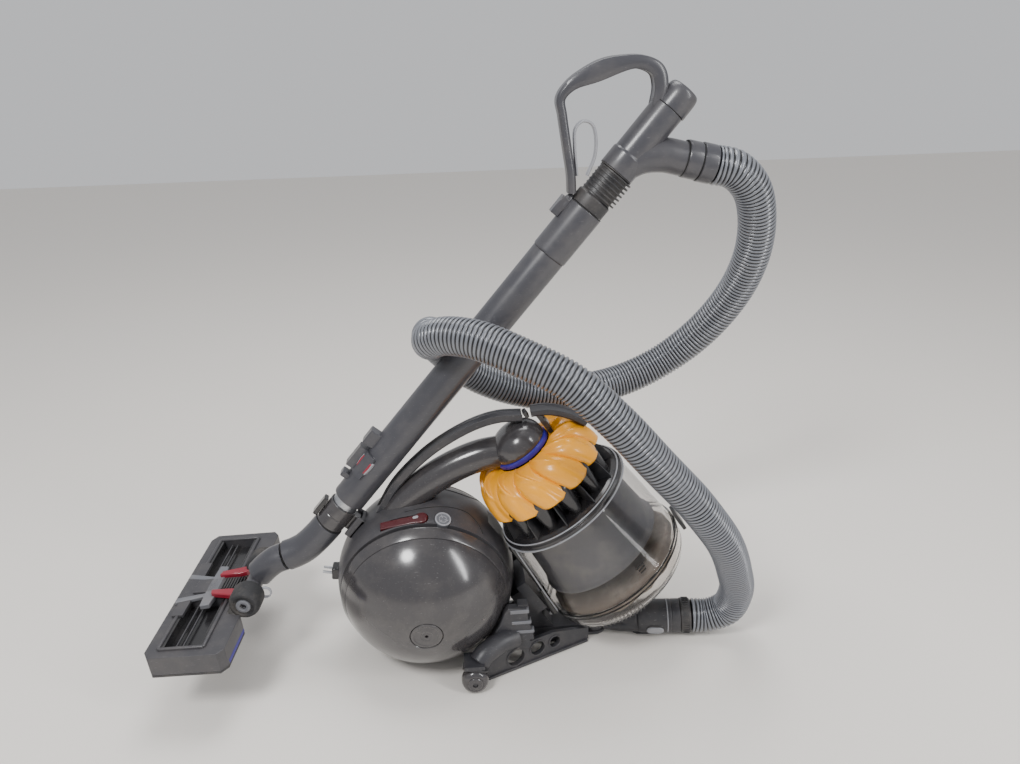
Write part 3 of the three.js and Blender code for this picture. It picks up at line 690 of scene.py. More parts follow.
def shoulder(x, y):
    """A place on the casing's skin with Z outwards."""
    z = math.sqrt(BALL_RADIUS ** 2 - x * x - y * y)
    normal = Vector((x, y, z)).normalized()
    return Matrix.Translation(normal * BALL_RADIUS) @ Vector((0, 0,
        1)).rotation_difference(normal).to_matrix().to_4x4()


BUTTONS = {"right": shoulder(30, -48), "left": shoulder(30, 48)}
PEDALS = {"right": shoulder(-24, -48), "left": shoulder(-24, 48)}
BUTTON_BODIES = {"right": "rewind_button", "left": "power_button"}


def pad_outline(margin=0.0):
    """The side strip: blunt at its rear end and lobed at its front end."""
    tail = [(-33 - margin, -5 - margin), (16, -6.4 - margin)]
    lobe = [(25 + (8.4 + margin) * math.cos(math.radians(a)), 0.6 + (8.4 + margin)
        * math.sin(math.radians(a))) for a in range(-110, 111, 10)]
    return [*tail, *lobe, (14, 6.4 + margin), (-33 - margin, 6.6 + margin)]


def casing():
    ball = lathe([(0, -128), *arc(BALL_RADIUS, -127.9, 127.9, 96), (0, 128)], 160)
    sides = [(half_turned(side, CASING_HALF, 160), BALL) for side in WHEELS]
    bin_space = (disc(RIM_RADIUS + 2.5, -FAR, -60, 0.1, 128), BIN)
    below = (box(-FAR, FAR, -FAR, FAR, -FAR, CASING_SPLIT + 0.4), BALL)
    above = (box(-FAR, FAR, -FAR, FAR, CASING_SPLIT - 0.4, FAR), BALL)
    ground = (box(-FAR, FAR, -FAR, FAR, -FAR, 5 + FLOOR), BALL)
    duct_space = (sweep(flat([(-46, 218), (-23, 247), (14, 277)]), oval(47, 47), 24), CLEANER)
    pockets = []
    for side in WHEELS:
        pockets.append((disc(12, -9, 12, 0.1), BALL @ BUTTONS[side]))
        pockets.append((prism(pad_outline(0.9), -11, 12), BALL @ PEDALS[side]))
    top = carved("casing_top", [ball], BALL, [*sides, bin_space, below, duct_space, *pockets])
    finish_piece(top, "casing", "cleaner", ("casing_upper",), crease=40)
    bottom = carved("casing_bottom", [ball], BALL, [*sides, bin_space, above, ground])
    finish_piece(bottom, "casing", "cleaner", ("casing_lower",), crease=40)


def wheel_well_shade_faces():
    """Painted shade: near-black faces inside each wheel's mouth, standing for the shade between the casing
    and the wheel.
    """
    for side, place in WHEELS.items():
        face = spun([(0, 39.6), (113, 39.6), (113, 40.6), (108, 40.8), (0, 40.8)], 128)
        obj = carved(f"well_face_{side}", [face], place, [(disc(RIM_RADIUS + 3, -FAR, -60, 0.1, 96), BIN),
            (disc(17, 30, 60, 0.1), place), (box(-FAR, FAR, -FAR, FAR, -FAR, 6 + FLOOR), BALL)])
        # The seam black on these faces is painted shade.
        finish_piece(obj, "seam", "cleaner")


def shoulder_controls():
    for side in WHEELS:
        name = BUTTON_BODIES[side]
        button = spun([(0, -6), (11.3, -6), (11.3, 0.6, 0.8), (9.4, 0.7, 0.3), (9.0, 0, 0.3), (0, 0.2)], 64)
        piece(f"{name}_cap", [button], BALL @ BUTTONS[side], "bracket", name, (name,))
        marks = [ring(11.2, 9.2, 0.3, 1.1, 0.3, 64), ring(5.6, 4.7, 0, 0.7, 0.2, 48)]
        marks += [moved(box(-0.5, 0.5, 2.2, 7.4, 0, 0.7), turned("Z", a)) for a in (20, 140, 260)]
        piece(f"{name}_mark", marks, BALL @ BUTTONS[side], "light", name)
        pad = [prism(pad_outline(), -7, -0.4)]
        piece(f"pedal_pad_{side}", pad, BALL @ PEDALS[side], "burgundy", f"side_pedal_{side}",
            (f"side_pedal_{side}",), bevel=1.2)
        badge = [prism(capsule(8, 4.4), -2, 0.4)]
        piece(f"pedal_badge_{side}", badge, BALL @ PEDALS[side] @ at(17, 2.5, 0), "light",
            f"side_pedal_{side}", bevel=0.4)


def hood_line():
    """The dark joint line of the casing's hood, over the shoulder and down to the wheel."""
    for side, sign in (("right", 1), ("left", -1)):
        marks = [(-22, -33, 121), (5.8, -30.3, 124.2), (36.1, -24.7, 120.3), (56, -23, 113),
            (66.2, -24.7, 106.7), (78, -34.5, 95.5), (84, -45, 86)]
        route = [Vector((x, sign * y, z)).normalized() * (BALL_RADIUS + 0.1) for x, y, z in marks]
        line = sweep([tuple(p) for p in route], oval(1.1, 1.1, 10), 60)
        piece(f"hood_line_{side}", [line], BALL, "seam", "cleaner")


casing()
hood_line()
wheel_well_shade_faces()
shoulder_controls()
for name, look, slot in [("motor", "steel", "steel"), ("impeller", "light", "light_grey"),
        ("cable_reel", "dark", "dark_plastic"), ("pre_motor_filter", "light", "light_grey")]:
    dressed(name, f"inner_{name}", look, 0.6)


# ---- Duct, arch and dome ----
DUCT_ROUTE = flat([(-46, 218), (-23, 247), (14, 277), (51, 298), (86, 311), (119, 316)])
ARCH_ROUTE = flat([(-62, 228), (-36, 272), (-5, 305), (29, 332), (77, 358), (113, 368), (146, 368)])


def strip_section(width, height, lip=2.6, edge=2.4):
    """A strip with a raised lip along both edges of its upper face."""
    w, h = width / 2, height / 2
    return [(-w, -h + 3), (-w, h), (-w + edge, h), (-w + edge + 1, h - lip), (w - edge - 1, h - lip),
        (w - edge, h), (w, h), (w, -h + 3), (w - 4, -h), (-w + 4, -h)]


def duct_and_arch():
    piece("duct_hood", [sweep(DUCT_ROUTE, oval(45.6, 45.6, 56), 64)], CLEANER, "shell", "cleaner",
        ("duct_pipe",))
    strip = sweep(ARCH_ROUTE, strip_section(24, 12), 64)
    piece("arch_strip", [strip], CLEANER, "chassis", "cleaner", ("carry_arch",), bevel=0.7,
        crease=30)
    dome = rounded([(0, 4), (39.5, 4), (40, 8, 2), (38.5, 17, 5), (32, 28, 7), (20, 35.5, 7), (0, 38.5)], 6)
    piece("cyclone_hood", [lathe(dome, 128)], BIN, "shell", "cleaner", ("cyclone_dome",))


duct_and_arch()


# ---- Bin and cyclones ----
CONE_COUNT = 12
CAP_INNER = 42
CAP_OUTER = 94


def lobed_cap():
    """A mushroom-like cap whose skirt is pressed into overlapping spoons, each with a curled tube."""
    across, lobe_steps = 48, 36
    round_steps = CONE_COUNT * lobe_steps
    outside, inside = [], []
    for i in range(across + 1):
        out = i / across
        bend = math.radians(92) * out
        skirt = math.sin(bend) ** 0.85
        for j in range(round_steps):
            phase = (j % lobe_steps) / lobe_steps
            spoon = math.sin(math.pi * phase ** 0.72) ** 0.7
            hollow = math.exp(-((phase - 0.72) / 0.12) ** 2) * out ** 1.5
            along = out / 0.62
            curl_phase = 0.22 + 0.5 * along ** 1.6
            curl = 0.0
            if along < 1:
                curl = math.exp(-((phase - curl_phase) / 0.1) ** 2) * math.sin(math.pi * along) ** 0.5
            radius = (CAP_INNER + (CAP_OUTER - CAP_INNER - 2) * skirt
                      + 12 * out ** 1.6 * (spoon - 0.8) - 3 * hollow)
            height = -5.5 - 41 * (1 - math.cos(bend)) ** 1.25 + 11 * math.sin(2.2 * out) * (spoon - 0.75)
            height += 7 * curl - 3.5 * hollow - 10 * out ** 3 * (spoon - 0.3)
            turn = math.tau * j / round_steps + math.radians(20) * out
            here = Vector((radius * math.cos(turn), radius * math.sin(turn), height))
            outside.append(tuple(here))
            shrink = 1 - 2.4 * out / radius
            inside.append((here.x * shrink, here.y * shrink, height - 2.4))
    points = outside + inside
    faces, half = [], len(outside)
    for i in range(across):
        for j in range(round_steps):
            k = (j + 1) % round_steps
            a, b = i * round_steps + j, i * round_steps + k
            faces.append([a, b, b + round_steps, a + round_steps])
            faces.append([v + half for v in (a + round_steps, b + round_steps, b, a)])
    for row in (0, across):
        for j in range(round_steps):
            a, b = row * round_steps + j, row * round_steps + (j + 1) % round_steps
            faces.append([a, b, b + half, a + half])
    return points, faces


def cyclones():
    seal = rounded([(34, -4), (41.5, -4, 1), (41.8, 0, 1), (41, 3.6, 1), (34, 3.6)])
    piece("purple_seal", [lathe(seal, 128)], BIN, "purple", "bin", ("seal_ring",))
    piece("lobed_cap", [lobed_cap()], BIN, "yellow", "bin", ("cyclone_cap",), crease=60)
    core = rounded([(20, -10), (34, -10, 2), (44, -20, 3), (52, -40, 6), (56, -90), (20, -90)])
    rim = rounded([(20, -102), (98, -102), (101.5, -101, 0.6), (102, -99, 0.6), (102, -96.5, 0.8),
        (99, -95.5, 0.8), (98.4, -93.5, 0.8), (95, -92.5, 1.2), (90, -89.6, 1), (20, -89)])
    piece("cyclone_core", [lathe(core, 96), lathe(rim, 128)], BIN, "black", "bin",
        ("cyclone_pack",))
    cone = spun([(0, -92), (8, -92), (9.5, -84, 2), (17.4, -50, 3), (14, -38, 4), (0, -36)], 40)
    ring_of("outer_cones", [moved(cone, at(61, 0, 0) @ turned("Y", -10.5))], CONE_COUNT, BIN, "black",
        "bin", start=math.radians(15), slot="black_plastic")
    web = moved(prism([(66, -90), (94, -90), (90, -66), (86, -60), (66, -60)], -0.8, 0.8), turned("X", 90))
    ring_of("cone_webs", [web], CONE_COUNT, BIN, "dark", "bin", slot="black_plastic")
    # Painted highlight: two light grey rings stand for the glints along the glossy black rim's edges.
    highlight_beads = [ring(103.2, 101, -103.2, -101.8, 0.6, 128), ring(99.4, 97.6, -93.4, -92.2, 0.4, 128)]
    piece("rim_beads", highlight_beads, BIN, "light", "bin")


def clear_parts():
    wall = rounded([(97.4, -102.6), (100, -102.6, 0.4), (100.6, -110, 1), (109, -223, 1),
        (111.6, -226, 0.5), (109, -226), (106.6, -222), (98.2, -110)])
    piece("bin_wall", [lathe(wall, 160)], BIN, "clear", "bin", ("clear_bin",))
    shroud = rounded([(0, -102.6), (84, -102.6), (86, -150, 4), (89, -190, 3), (93, -196, 2), (93, -199, 1),
        (89, -199), (85, -195), (82, -150), (80, -106), (0, -106)])
    piece("shroud_cone", [lathe(shroud, 128)], BIN, "shroud", "bin", ("shroud",))
    profile = rounded([(0, -252), (94, -252, 6), (99, -240, 6), (97, -226, 5), (70, -221, 12),
        (30, -226, 12), (0, -222)])
    points, faces = lathe(profile, 64)
    lumpy = [(x * (1 + 0.01 * math.sin(z + y * 0.2)), y * (1 + 0.012 * math.sin(x * 0.23)),
        z + 2.2 * math.sin(x * 0.11) * math.cos(y * 0.13)) for x, y, z in points]
    piece("packed_dust", [(lumpy, faces)], BIN, "fluff", "bin")
    seals = [ring(112.4, 110.4, -229.0, -227.4, 0.6, 128), ring(112.2, 110, -234.6, -233.4, 0.4, 128)]
    piece("bin_seals", seals, BIN, "seam", "bin")
    skirt = rounded([(108, -227), (111.8, -227, 0.4), (111.8, -234, 0.6), (108, -234)])
    piece("bin_skirt", [lathe(skirt, 128)], BIN, "clear lid", "bin", ("bin_base_ring",))
    dish = rounded([(0, -265), (90, -265, 4), (104, -261, 5), (110, -249, 4), (110, -235.4),
        (107.6, -235.4), (107.6, -248, 3), (102, -258, 4), (88, -262.4, 3), (0, -262.4)], 5)
    piece("lid_dish", [lathe(dish, 128)], BIN, "clear lid", "bin_lid", ("bin_lid",))
    knuckle = moved(ring(7, 3.9, -10.8, 10.8, 0.4, 32), at(-119, 0, -241) @ turned("X", 90))
    piece("lid_knuckle", [knuckle, box(-119, -108, -10.8, 10.8, -247, -238)], BIN, "dark", "bin_lid",
        bevel=0.4)
    tooth = [box(100.6, 104.4, -1.2, 1.2, -262, -255)]
    repeated(RING_TREE, "lid_teeth", tooth, 26, math.radians(3.4), math.radians(192), BIN, "black",
        "bin_lid", "black_plastic")
    dressed("lid_hinge_pin", "lid_pin", "steel", 0.3)
    dressed("lid_catch", "lid_catch_tab", "dark", 1.0)
    for i in range(3):
        height = -203 - 4.6 * i
        radius = 100 + (-110 - height) * 0.0744 + 0.5
        line = moved(box(0, 0.4, -7 + i, 7 - i, height, height + 1.9), at(radius, 0, 0))
        piece(f"level_line_{i + 1}", [line], BIN @ turned("Z", -66), "seam", "bin")
    spine = sweep([(-96, -34, -104), (-98, -35, -150), (-101, -36, -195), (-106, -34, -231)],
        oval(9, 9, 28), 40)
    clip = sweep([(-101, -37, -186), (-104, -38, -205), (-108, -36, -232)], oval(15, 13, 28), 24)
    piece("bin_spine", [spine, clip], BIN, "black", "bin")
    # Painted highlight: a thin light grey line beside the black spine stands for the glint along it.
    edge = sweep([(-91, -44, -104), (-95, -46, -150), (-99, -48, -195), (-102, -46, -229)],
        oval(2.2, 2.2, 16), 40)
    piece("bin_spine_edge", [edge], BIN, "light", "bin")


def bin_handle():
    route = flat([(41, 37), (62, 24), (81, 2), (93, -22)])
    strip = sweep(route, strip_section(26, 10, 2.2), 40)
    piece("bin_grip", [strip], BIN, "chassis", "bin", ("bin_handle",), bevel=0.7, crease=30)
    post = moved(prism([(44, -4), (50.5, -4), (52, 10), (50, 31), (44, 33)], -8, 8), turned("X", 90))
    piece("bin_post", [post], BIN, "black", "bin", bevel=0.8)
    dressed("bin_release_button", "bin_release_cap", "black", 0.8)


cyclones()
clear_parts()
bin_handle()


# ---- Chassis, castors and steering neck ----
def chassis():
    dressed("chassis", "chassis_frame", "chassis", 1.1)
    dressed("steering_pin", "steering_pivot", "steel", 0.5)
    foot, tip = Vector((72, 95)), Vector((236, 24))
    for side, sign in SIDES:
        turn = math.degrees(math.atan2(sign * (tip.y - foot.y), tip.x - foot.x))
        web = CLEANER @ at(foot.x, sign * foot.y, 0) @ turned("Z", turn) @ turned("X", 90)
        lips = [moved(ring(r + 2.2, r - 0.2, -4.2, 4.2, 0.6, 64), at(s, z, 0)) for s, z,
            r in ((54, 21, 13.5), (90, 23, 11.5), (119, 23, 9))]
        edge = [box(6, 176, 1.6, 5.4, -6, 6)]
        piece(f"web_lips_{side}", lips + edge, web, "chassis", "cleaner", bevel=0.6)
        # Painted light: the three ledges get a lighter grey than the chassis, standing for the light on the
        # stepped column's facets.
        lit_ledges = [(116, 143, 97, 103), (118, 146, 79, 84), (120, 150, 63, 68)]
        steps = [box(x0, x1, -8, 3, z0, z1) for x0, x1, z0, z1 in lit_ledges]
        outer = [moved(s, at(0, sign * 75 + (5 if sign < 0 else 0), 0)) for s in steps]
        piece(f"bracket_steps_{side}", outer, CLEANER, "bracket", "cleaner", bevel=1.0)
        cheek = prism([(79, 48), (89, 60), (101, 80), (108, 99), (114, 106), (140, 104), (142, 84),
            (147, 66), (150, 50)], sign * 70 - 7, sign * 70 + 7)
        standing = [(x, z, y) for x, y, z in cheek[0]]
        piece(f"bracket_cheek_{side}", [(standing, cheek[1])], CLEANER, "chassis", "cleaner",
            bevel=2.0)


def castors():
    for side, sign in SIDES:
        place = CLEANER @ at(62, sign * 111, 19) @ turned("X", -90 * sign)
        wheel = rounded([(3.6, -11), (15, -10.4, 2), (19, -5, 3), (19, 4, 3), (17, 9.6, 3), (11.6, 12.6, 2),
            (10.6, 11.8, 0.6), (9.4, 13.2, 0.6), (3.6, 14)])
        body = f"castor_wheel_{side}"
        piece(f"castor_roller_{side}", [lathe(wheel, 72)], place, "shell", body, (body,))
        back = [(x, sign * y, z) for x, y, z in [(69, 101, 39), (76, 96, 46), (88, 89, 51), (104, 80, 55),
            (124, 70, 54)]]
        arm = sweep(back, oval(31, 30, 48), 40)
        piece(f"castor_arm_{side}", [arm], CLEANER, "chassis", "cleaner", bevel=1.5)
        lean = Vector((0.15, -sign * 0.55, 0.8)).to_track_quat("Z", "X").to_matrix().to_4x4()
        hood = CLEANER @ at(63, sign * 105, 29) @ lean
        collar = rounded([(0, -2), (17.6, -2, 1), (18.4, 0, 0.6), (18.4, 1.4, 0.5), (17.2, 2, 0.3),
            (17.2, 8, 0.4), (0, 8)])
        piece(f"castor_hood_{side}", [lathe(collar, 64)], hood, "dark", "cleaner")
        ring_of(f"castor_flutes_{side}", [box(16.8, 18.3, -0.6, 0.6, 2.2, 7.8)], 44, hood, "chassis",
            "cleaner", slot="casing_grey")


def neck():
    arm = rounded([(0, 0), (5.8, 0), (6, 9, 2), (10, 19, 4), (17, 38, 6), (22.5, 56, 4), (0, 56)], 6)
    long_arm = moved(lathe(arm, 64), at(12, 0, 15) @ turned("Y", 79))
    cuff = spun([(19, 0), (23.4, 0, 2), (25, 7, 2), (25, 50, 0.6), (24.4, 51, 0.3), (25, 52, 0.6),
        (25, 64, 0.8), (19, 64)], 96)
    back = spun([(0, -10), (10, -9, 2), (19.6, -3, 4), (24, 6, 3), (24, 14), (0, 14)], 64)
    skid = prism([(60, -7), (66, -10), (98, -9), (104, -6), (104, 6), (98, 9), (66, 10), (60, 7)], 0, 6)
    ring_part = disc(16.4, 8.6, 21.4, 1.2)
    cuff_shapes = [moved(s, CUFF_ON_NECK) for s in (cuff, back)]
    belly = sweep([(14, 0, 14), (34, 0, 14), (56, 0, 18), (80, 0, 24)], oval(46, 38, 48), 32,
        lambda t: (0.62 + 0.38 * t, 0.36 + 0.7 * t))
    piece("neck_arm", [long_arm, belly, ring_part, skid, *cuff_shapes], NECK, "chassis", "steering_neck",
        ("steering_neck",), bevel=0.5)
    # Painted highlight: a thin light grey ring round the cuff stands for the light crescent along its edge.
    piece("cuff_line", [moved(ring(25.5, 24.6, 44, 45.6, 0.4), CUFF_ON_NECK)], NECK, "light",
        "steering_neck")
    place = NECK @ at(92, 0, 27) @ turned("X", 112)
    piece("release_surround", [prism(capsule(31, 20), 17, 24.6)], place, "dark", "steering_neck",
        bevel=1.0)
    piece("hose_release_cap", [prism(capsule(26, 15), 20, 26.8)], place, "light", "hose_release_button",
        ("hose_release_button",), bevel=1.6)
    collar = rounded([(20, 64.6), (25.6, 64.6, 0.6), (26.2, 67, 0.8), (26.2, 78, 1.4), (24, 80, 0.6),
        (20, 80)])
    piece("cuff_collar", [lathe(collar, 96)], CUFF, "dark", "hose_collar_lower",
        ("hose_collar_lower",))
    ring_of("cuff_collar_ribs", [box(25.8, 26.9, -0.6, 0.6, 68, 77)], 40, CUFF, "dark", "hose_collar_lower",
        slot="shell_grey")


def plug():
    place = BALL @ turned("Y", 5)
    piece("mains_plug", [box(-137, -125, -10, 10, -8, 11)], place, "black", "cleaner",
        ("power_plug",), bevel=2.5)
    pins = [moved(disc(2, -2, 13, 0.6, 24), at(-137, y, 2) @ turned("Y", -82)) for y in (-6, 6)]
    piece("plug_pins", pins, place, "steel", "cleaner")


chassis()
castors()
neck()
plug()


# ---- Wand ----
def wand():
    tube = spun([(21, -441), (23.1, -441, 0.4), (23.5, -439.6, 0.4), (23.5, -1.6, 0.3), (21, -1.4)], 96)
    piece("outer_sleeve", [tube], WAND, "tube", "wand_upper", ("outer_tube",))
    cuff = spun([(21, -1), (24.2, -1, 0.5), (24.6, 1.5, 0.6), (24.6, 70, 0.5), (24.2, 71.4, 0.4),
        (21, 71.4)], 96)
    piece("wand_cuff", [cuff], WAND, "tube", "wand_upper")
    seams = [ring(24.4, 20, 71.2, 72.6), ring(23.3, 20, -1.9, -0.9)]
    piece("wand_seams", seams, WAND, "seam", "wand_upper")
    guide = prism([(-37.5, -9), (-20, -9), (-20, 9), (-37.5, 9)], -357, -334)
    stop = prism([(-33, -8), (-20, -8), (-20, 8), (-33, 8)], -416, -407)
    rail = box(-25.4, -22.6, -4, 4, -410, -334)
    piece("catch_guides", [guide, stop, rail], WAND, "tube", "wand_upper", bevel=1.6)
    dressed("telescope_catch", "catch_slider", "tube", 1.2)
    outline = [(-13, 0), (-11, -6), (-5, -9.6), (4, -10.6), (12, -10), (12, 10), (4, 10.6), (-5, 9.6),
        (-11, 6)]
    rim = [(x * 1.12, y * 1.12) for x, y in outline]
    out = Vector((-17, -16.2, 0)).normalized()
    up = Vector((0, 0, 1))
    side = out.cross(up)
    turn = Matrix((up, side, out)).transposed().to_4x4()
    shield_place = WAND @ at(-17, -16.2, -381) @ turn
    piece("catch_frame", [prism(rim, -3, 1.6)], shield_place, "light", "telescope_catch",
        bevel=0.8)
    piece("catch_shield", [prism(outline, -3, 2.4)], shield_place, "red", "telescope_catch",
        bevel=0.9)
    dressed("wand_catch_button", "wand_catch_cap", "tube", 1.4)
    lobe = spun([(0, -7), (12, -7, 3), (15, -2, 4), (11, 3.4, 4), (0, 5)], 48)
    stretched = [(x * 1.15, y * 0.62, z) for x, y, z in lobe[0]]
    piece("wand_catch_lobe", [(stretched, lobe[1])], WAND @ at(-27, 0, 60) @ turned("Y", -90), "tube",
        "wand_catch_button")
    piece("wand_catch_ridge", [box(-33, -31.4, -5.5, 5.5, 55, 57), box(-33, -31.4, -5.5, 5.5, 61, 63)],
        WAND, "dark", "wand_catch_button", bevel=0.6)
    inner = spun([(16.5, -486), (18.5, -486, 0.4), (18.5, -70, 0.4), (16.5, -70)], 64)
    piece("inner_sleeve", [inner], WAND, "steel", "wand_lower", ("inner_tube",))
    collar = spun([(19, -489), (21, -489, 0.5), (21, -472, 0.3), (20.4, -471, 0.2), (21, -470, 0.3),
        (21, -453, 0.6), (19, -453)], 96)
    piece("collar_sleeve", [collar, box(20, 30, -8, 8, -480, -456)], WAND, "shell", "wand_lower",
        ("neck_collar",), bevel=0.3)
    piece("collar_seam", [ring(21.6, 18.8, -490.6, -489.2)], WAND, "seam", "wand_lower")
    dressed("collar_clip", "collar_clip_tab", "black", 1.2)
    elbow = sweep(flat([(-132.6, 219), (-150, 200.5), (-170, 183), (-184, 175.6), (-197, 171)]),
        oval(44, 44, 56), 40)
    piece("elbow_pipe", [elbow], CLEANER, "tube", "wand_lower", ("tool_elbow",), bevel=0.8)
    piece("dock_socket", [box(31, 50, -15, 15, -486, -452), box(24, 50, -15, -10, -486, -452),
        box(24, 50, 10, 15, -486, -452)], WAND, "casing", "cleaner", bevel=1.6)


def handle():
    collar = spun([(18, 130.6), (23.5, 130.6, 0.5), (23.5, 154, 1.2), (22, 156.5, 1), (22, 225.6, 0.4),
        (18, 226)], 96)
    branch = sweep(wand_points([(140, 0), (163, 12), (182, 32), (195, 56)]), oval(43, 43, 56), 32)
    piece("handle_pipe", [collar, branch], WAND, "tube", "wand_upper", ("handle_tube",))
    cap = spun([(0, 226.6), (21.6, 226.6, 0.4), (21.2, 247, 3), (20, 254, 3), (17, 257, 2), (0, 257)], 96)
    piece("handle_cap", [cap], WAND @ at(2, 0, 0), "tube", "wand_upper", ("handle_end_cap",))
    piece("handle_seams", [ring(21.9, 17, 225.8, 226.7), ring(23.2, 18, 129.8, 130.8)], WAND, "seam",
        "wand_upper")
    sleeve = spun([(18.6, 73), (23.6, 73, 0.4), (23.6, 89, 1), (21, 91, 0.6), (21, 128, 0.4),
        (23.6, 129, 0.3), (23.6, 130, 0.2), (18.6, 130)], 96)
    piece("bleed_core", [sleeve], WAND, "dark", "wand_upper", ("bleed_sleeve",))
    fin = [moved(ring(24, 19.6, 0, 2.2, 0.5, 64), at(2.2, 0, 0))]
    row_of("bleed_fins", fin, 7, 5.4, WAND @ at(0, 0, 93.2), "dark", "wand_upper", slot="tube_grey")
    first = spun([(18.5, 0.4), (22.6, 0.4, 0.4), (23.6, 2, 0.5), (23.6, 18, 0.5), (22.6, 18.8, 0.3),
        (22.6, 19.8, 0.3), (24.6, 20.6, 0.5), (24.6, 37.6, 1.2), (23.6, 39, 0.4), (18.5, 39)], 96)
    piece("branch_collar", [first], BRANCH, "tube", "hose_collar_upper",
        ("hose_collar_upper",))
    piece("branch_seams", [ring(22.9, 18, -0.8, 0.3), ring(23.6, 18, 18.9, 19.9)], BRANCH, "seam",
        "hose_collar_upper")
    grip_route = wand_points([
        (218, -14), (240, -26), (250, -42), (243, -64), (222, -84), (196, -100), (172, -111), (152, -111),
        (139, -97), (112, -66), (92, -43), (76, -28),
    ])
    section = [(-9.5, -5.6), (-12, -3), (-12.4, 1), (-11, 4.4), (-9, 6.2), (-7.6, 5.4), (7.6, 5.4),
        (9, 6.2), (11, 4.4), (12.4, 1), (12, -3), (9.5, -5.6), (0, -6.4)]

    def swell(t):
        """Thick along the top for the hand, slim down the leg."""
        palm, heel = (t - 0.4) / 0.13, (t - 0.12) / 0.12
        return 1.0, 0.86 + 1.05 * math.exp(-palm ** 2) + 0.6 * math.exp(-heel ** 2)

    grip = sweep(grip_route, section, 120, swell)
    piece("grip_loop", [grip], WAND, "tube", "wand_upper", ("handle_grip",), bevel=0.4,
        crease=38)
    hook = sweep(wand_points([(104, -26), (128, -34), (146, -48), (154, -61), (150, -72), (138, -74),
        (120, -60), (104, -44), (96, -36)]), oval(11, 4, 24), 64)
    piece("trigger_hook", [hook], WAND, "light", "suction_trigger", ("suction_trigger",),
        bevel=0.4)


wand()
handle()


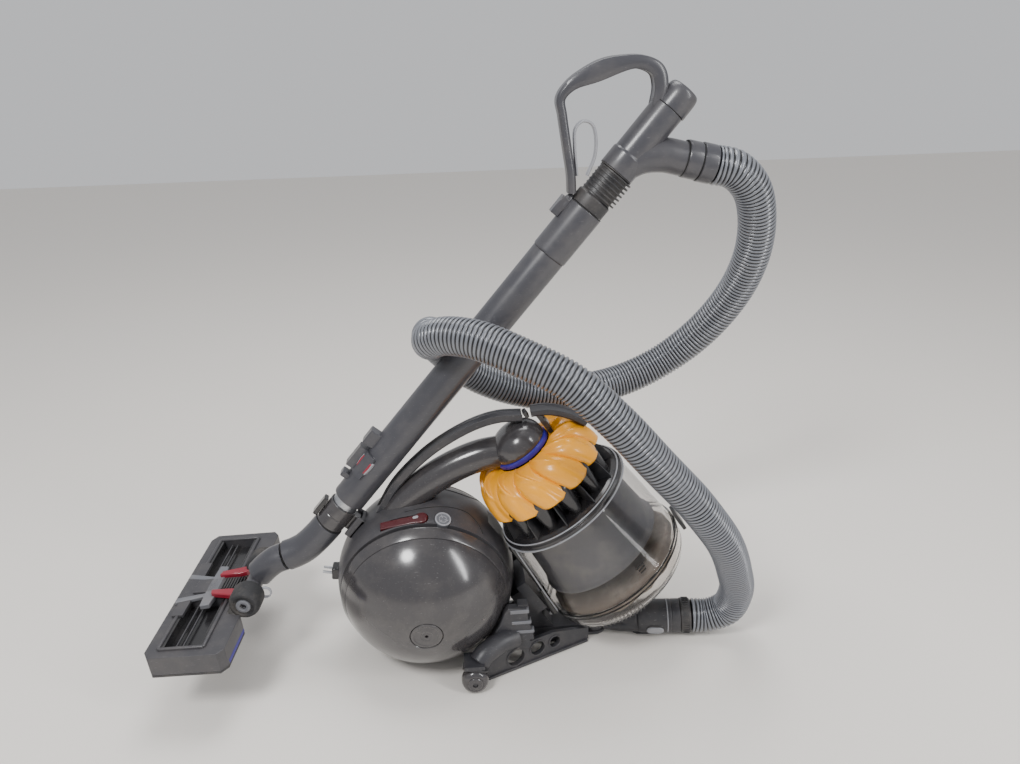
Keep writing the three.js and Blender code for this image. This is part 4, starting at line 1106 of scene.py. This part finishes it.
# ---- Floor tool ----
def floor_tool():
    dressed("tool_body", "tool_shell", "casing", 2.4)
    dressed("soleplate", "tool_sole", "dark", 1.0)
    for side, sign in SIDES:
        low, high = sorted((sign * 24, sign * 122))
        strip = [box(51.6, 54.2, *sorted((sign * 64, sign * 126)), -13, -7)]
        piece(f"sole_seal_{side}", strip, TOOL, "purple", "tool_head", bevel=0.8)
        frame_bars = [box(-39, -34, low - 3, high + 3, 12, 18.4), box(22, 27, low - 3, high + 3, 12, 18.4),
            box(-37, 25, low - 5, low, 12, 18.4), box(-37, 25, high, high + 5, 12, 18.4)]
        piece(f"window_frame_{side}", frame_bars, TOOL, "casing", "tool_head", bevel=2.0)
        lining = [box(-35, -30, low, high, 2, 16), box(18, 23, low, high, 2, 16),
            box(-33, 21, low + 1, high - 1, 1.8, 3)]
        piece(f"window_lining_{side}", lining, TOOL, "black", "tool_head", bevel=1.4)
        row_of(f"window_lines_{side}", [box(-(high - low) / 2 + 3, (high - low) / 2 - 3, -1.3, 1.3, -0.9,
            0.9)], 2, 9.0, TOOL @ at(-9, (low + high) / 2, 8) @ turned("Z", 90) @ turned("X", -90),
            "casing", "tool_head", slot="casing_grey")
    panel = prism([(-50, -26), (-6, -17), (-6, 17), (-50, 26)], 13, 18.6)
    piece("tool_panel", [panel], TOOL, "casing", "tool_head", bevel=1.6)
    bands = [prism([(-50, y - 5), (-4, y * 0.62 - 4), (-4, y * 0.62 + 4), (-50, y + 5)], 14,
        20.2) for y in (-28, 28)]
    cross = prism([(-9, -46), (4, -44), (7, -20), (7, 20), (4, 44), (-9, 46), (-12, 0)], 14, 22)
    piece("tool_bridge", [*bands, cross], TOOL, "bracket", "tool_head", bevel=1.6)
    piece("rib_bed", [box(7, 40, -15.4, 15.4, 15, 21.6)], TOOL, "black", "tool_head",
        bevel=1.2)
    row_of("centre_ribs", [box(-1.6, 1.6, -12.6, 12.6, 0, 1.4)], 7, 4.0, TOOL @ at(11, 0,
        22.6) @ turned("Y", 90), "dark", "tool_head", slot="black_plastic")
    pads = [prism([(0, s * 17), (2, s * 26), (20, s * 30), (36, s * 34), (46, s * 31), (47, s * 23),
        (30, s * 17)], 19, 27) for s in (-1, 1)]
    bar = [box(24, 28, -30, 30, 16.5, 19.6)]
    piece("pedal_pads", pads + bar, TOOL, "red", "tool_pedal", ("tool_pedal",), bevel=3.0)
    for side, sign in SIDES:
        place = TOOL @ at(58, sign * 45, 24) @ turned("X", -90 * sign)
        wheel = rounded([(3.6, -8), (13, -8), (13, -21), (18, -21, 2), (22, -17, 4), (22, 8, 4),
            (18.4, 13, 2), (14.6, 13.4, 0.8), (13.8, 11.4, 0.8), (3.6, 11.4)])
        hub = rounded([(3.6, 9), (10.2, 9), (10.2, 13.2, 0.8), (8.4, 14.2, 0.8), (5, 14.2, 0.8),
            (4.4, 11, 0.5), (3.6, 11)])
        body = f"tool_wheel_{side}"
        piece(f"tool_roller_{side}", [lathe(wheel, 80)], place, "rubber", body, (body,))
        piece(f"tool_roller_hub_{side}", [lathe(hub, 64)], place, "bracket", body)
    loop = moved(ring(9, 7, -2, 2, 0.6, 48), turned("X", 90))
    piece("yoke_loop", [loop], TOOL @ at(80, -26, 22), "light", "tool_head")
    stem = sweep(flat([(-200.5, 169.8), (-213.5, 165.2), (-227, 156), (-240, 144)]), oval(42, 40, 56), 24)
    hub = moved(disc(12, -36, 36, 1.4), TOOL_ON_CLEANER @ at(58, 0, 24) @ turned("X", -90))
    axle = moved(disc(3, -53.6, 53.6, 0.5, 32), TOOL_ON_CLEANER @ at(58, 0, 24) @ turned("X", -90))
    piece("yoke_stem", [stem, hub, axle], CLEANER, "tube", "tool_yoke", ("tool_yoke",),
        bevel=0.6)


floor_tool()


# ---- Floor and light ----
def stage():
    size = 6
    mesh = bpy.data.meshes.new("floor")
    mesh.from_pydata([(-size, -size, 0), (size, -size, 0), (size, size, 0), (-size, size, 0)], [],
        [[0, 1, 2, 3]])
    floor = linked("floor", mesh)
    material, tree, shader = new_material("pale floor")
    feed(tree, shader, {"Base Color": linear((236, 231, 224)), "Roughness": 0.6})
    mesh.materials.append(material)
    world = bpy.data.worlds.new("studio")
    bpy.context.scene.world = world
    world.use_nodes = True
    back = world.node_tree.nodes["Background"]
    back.inputs["Color"].default_value = linear((244, 245, 248))
    back.inputs["Strength"].default_value = 0.7
    for name, place, aim, size, length, power in [
        ("key light", (-1.0, -1.5, 2.3), (0, 0, 0.3), 0.7, 0.7, 46),
        ("strip light", (1.7, -1.3, 1.3), (0.1, 0, 0.3), 0.25, 1.8, 24),
        ("top light", (0.1, 0.5, 2.5), (0, 0, 0.2), 1.2, 1.2, 26),
    ]:
        data = bpy.data.lights.new(name, "AREA")
        data.shape = "ELLIPSE"
        data.size = size
        data.size_y = length
        data.energy = power
        lamp = linked(name, data)
        lamp.location = place
        lamp.rotation_euler = (Vector(aim) - Vector(place)).to_track_quat("-Z", "Y").to_euler()


stage()
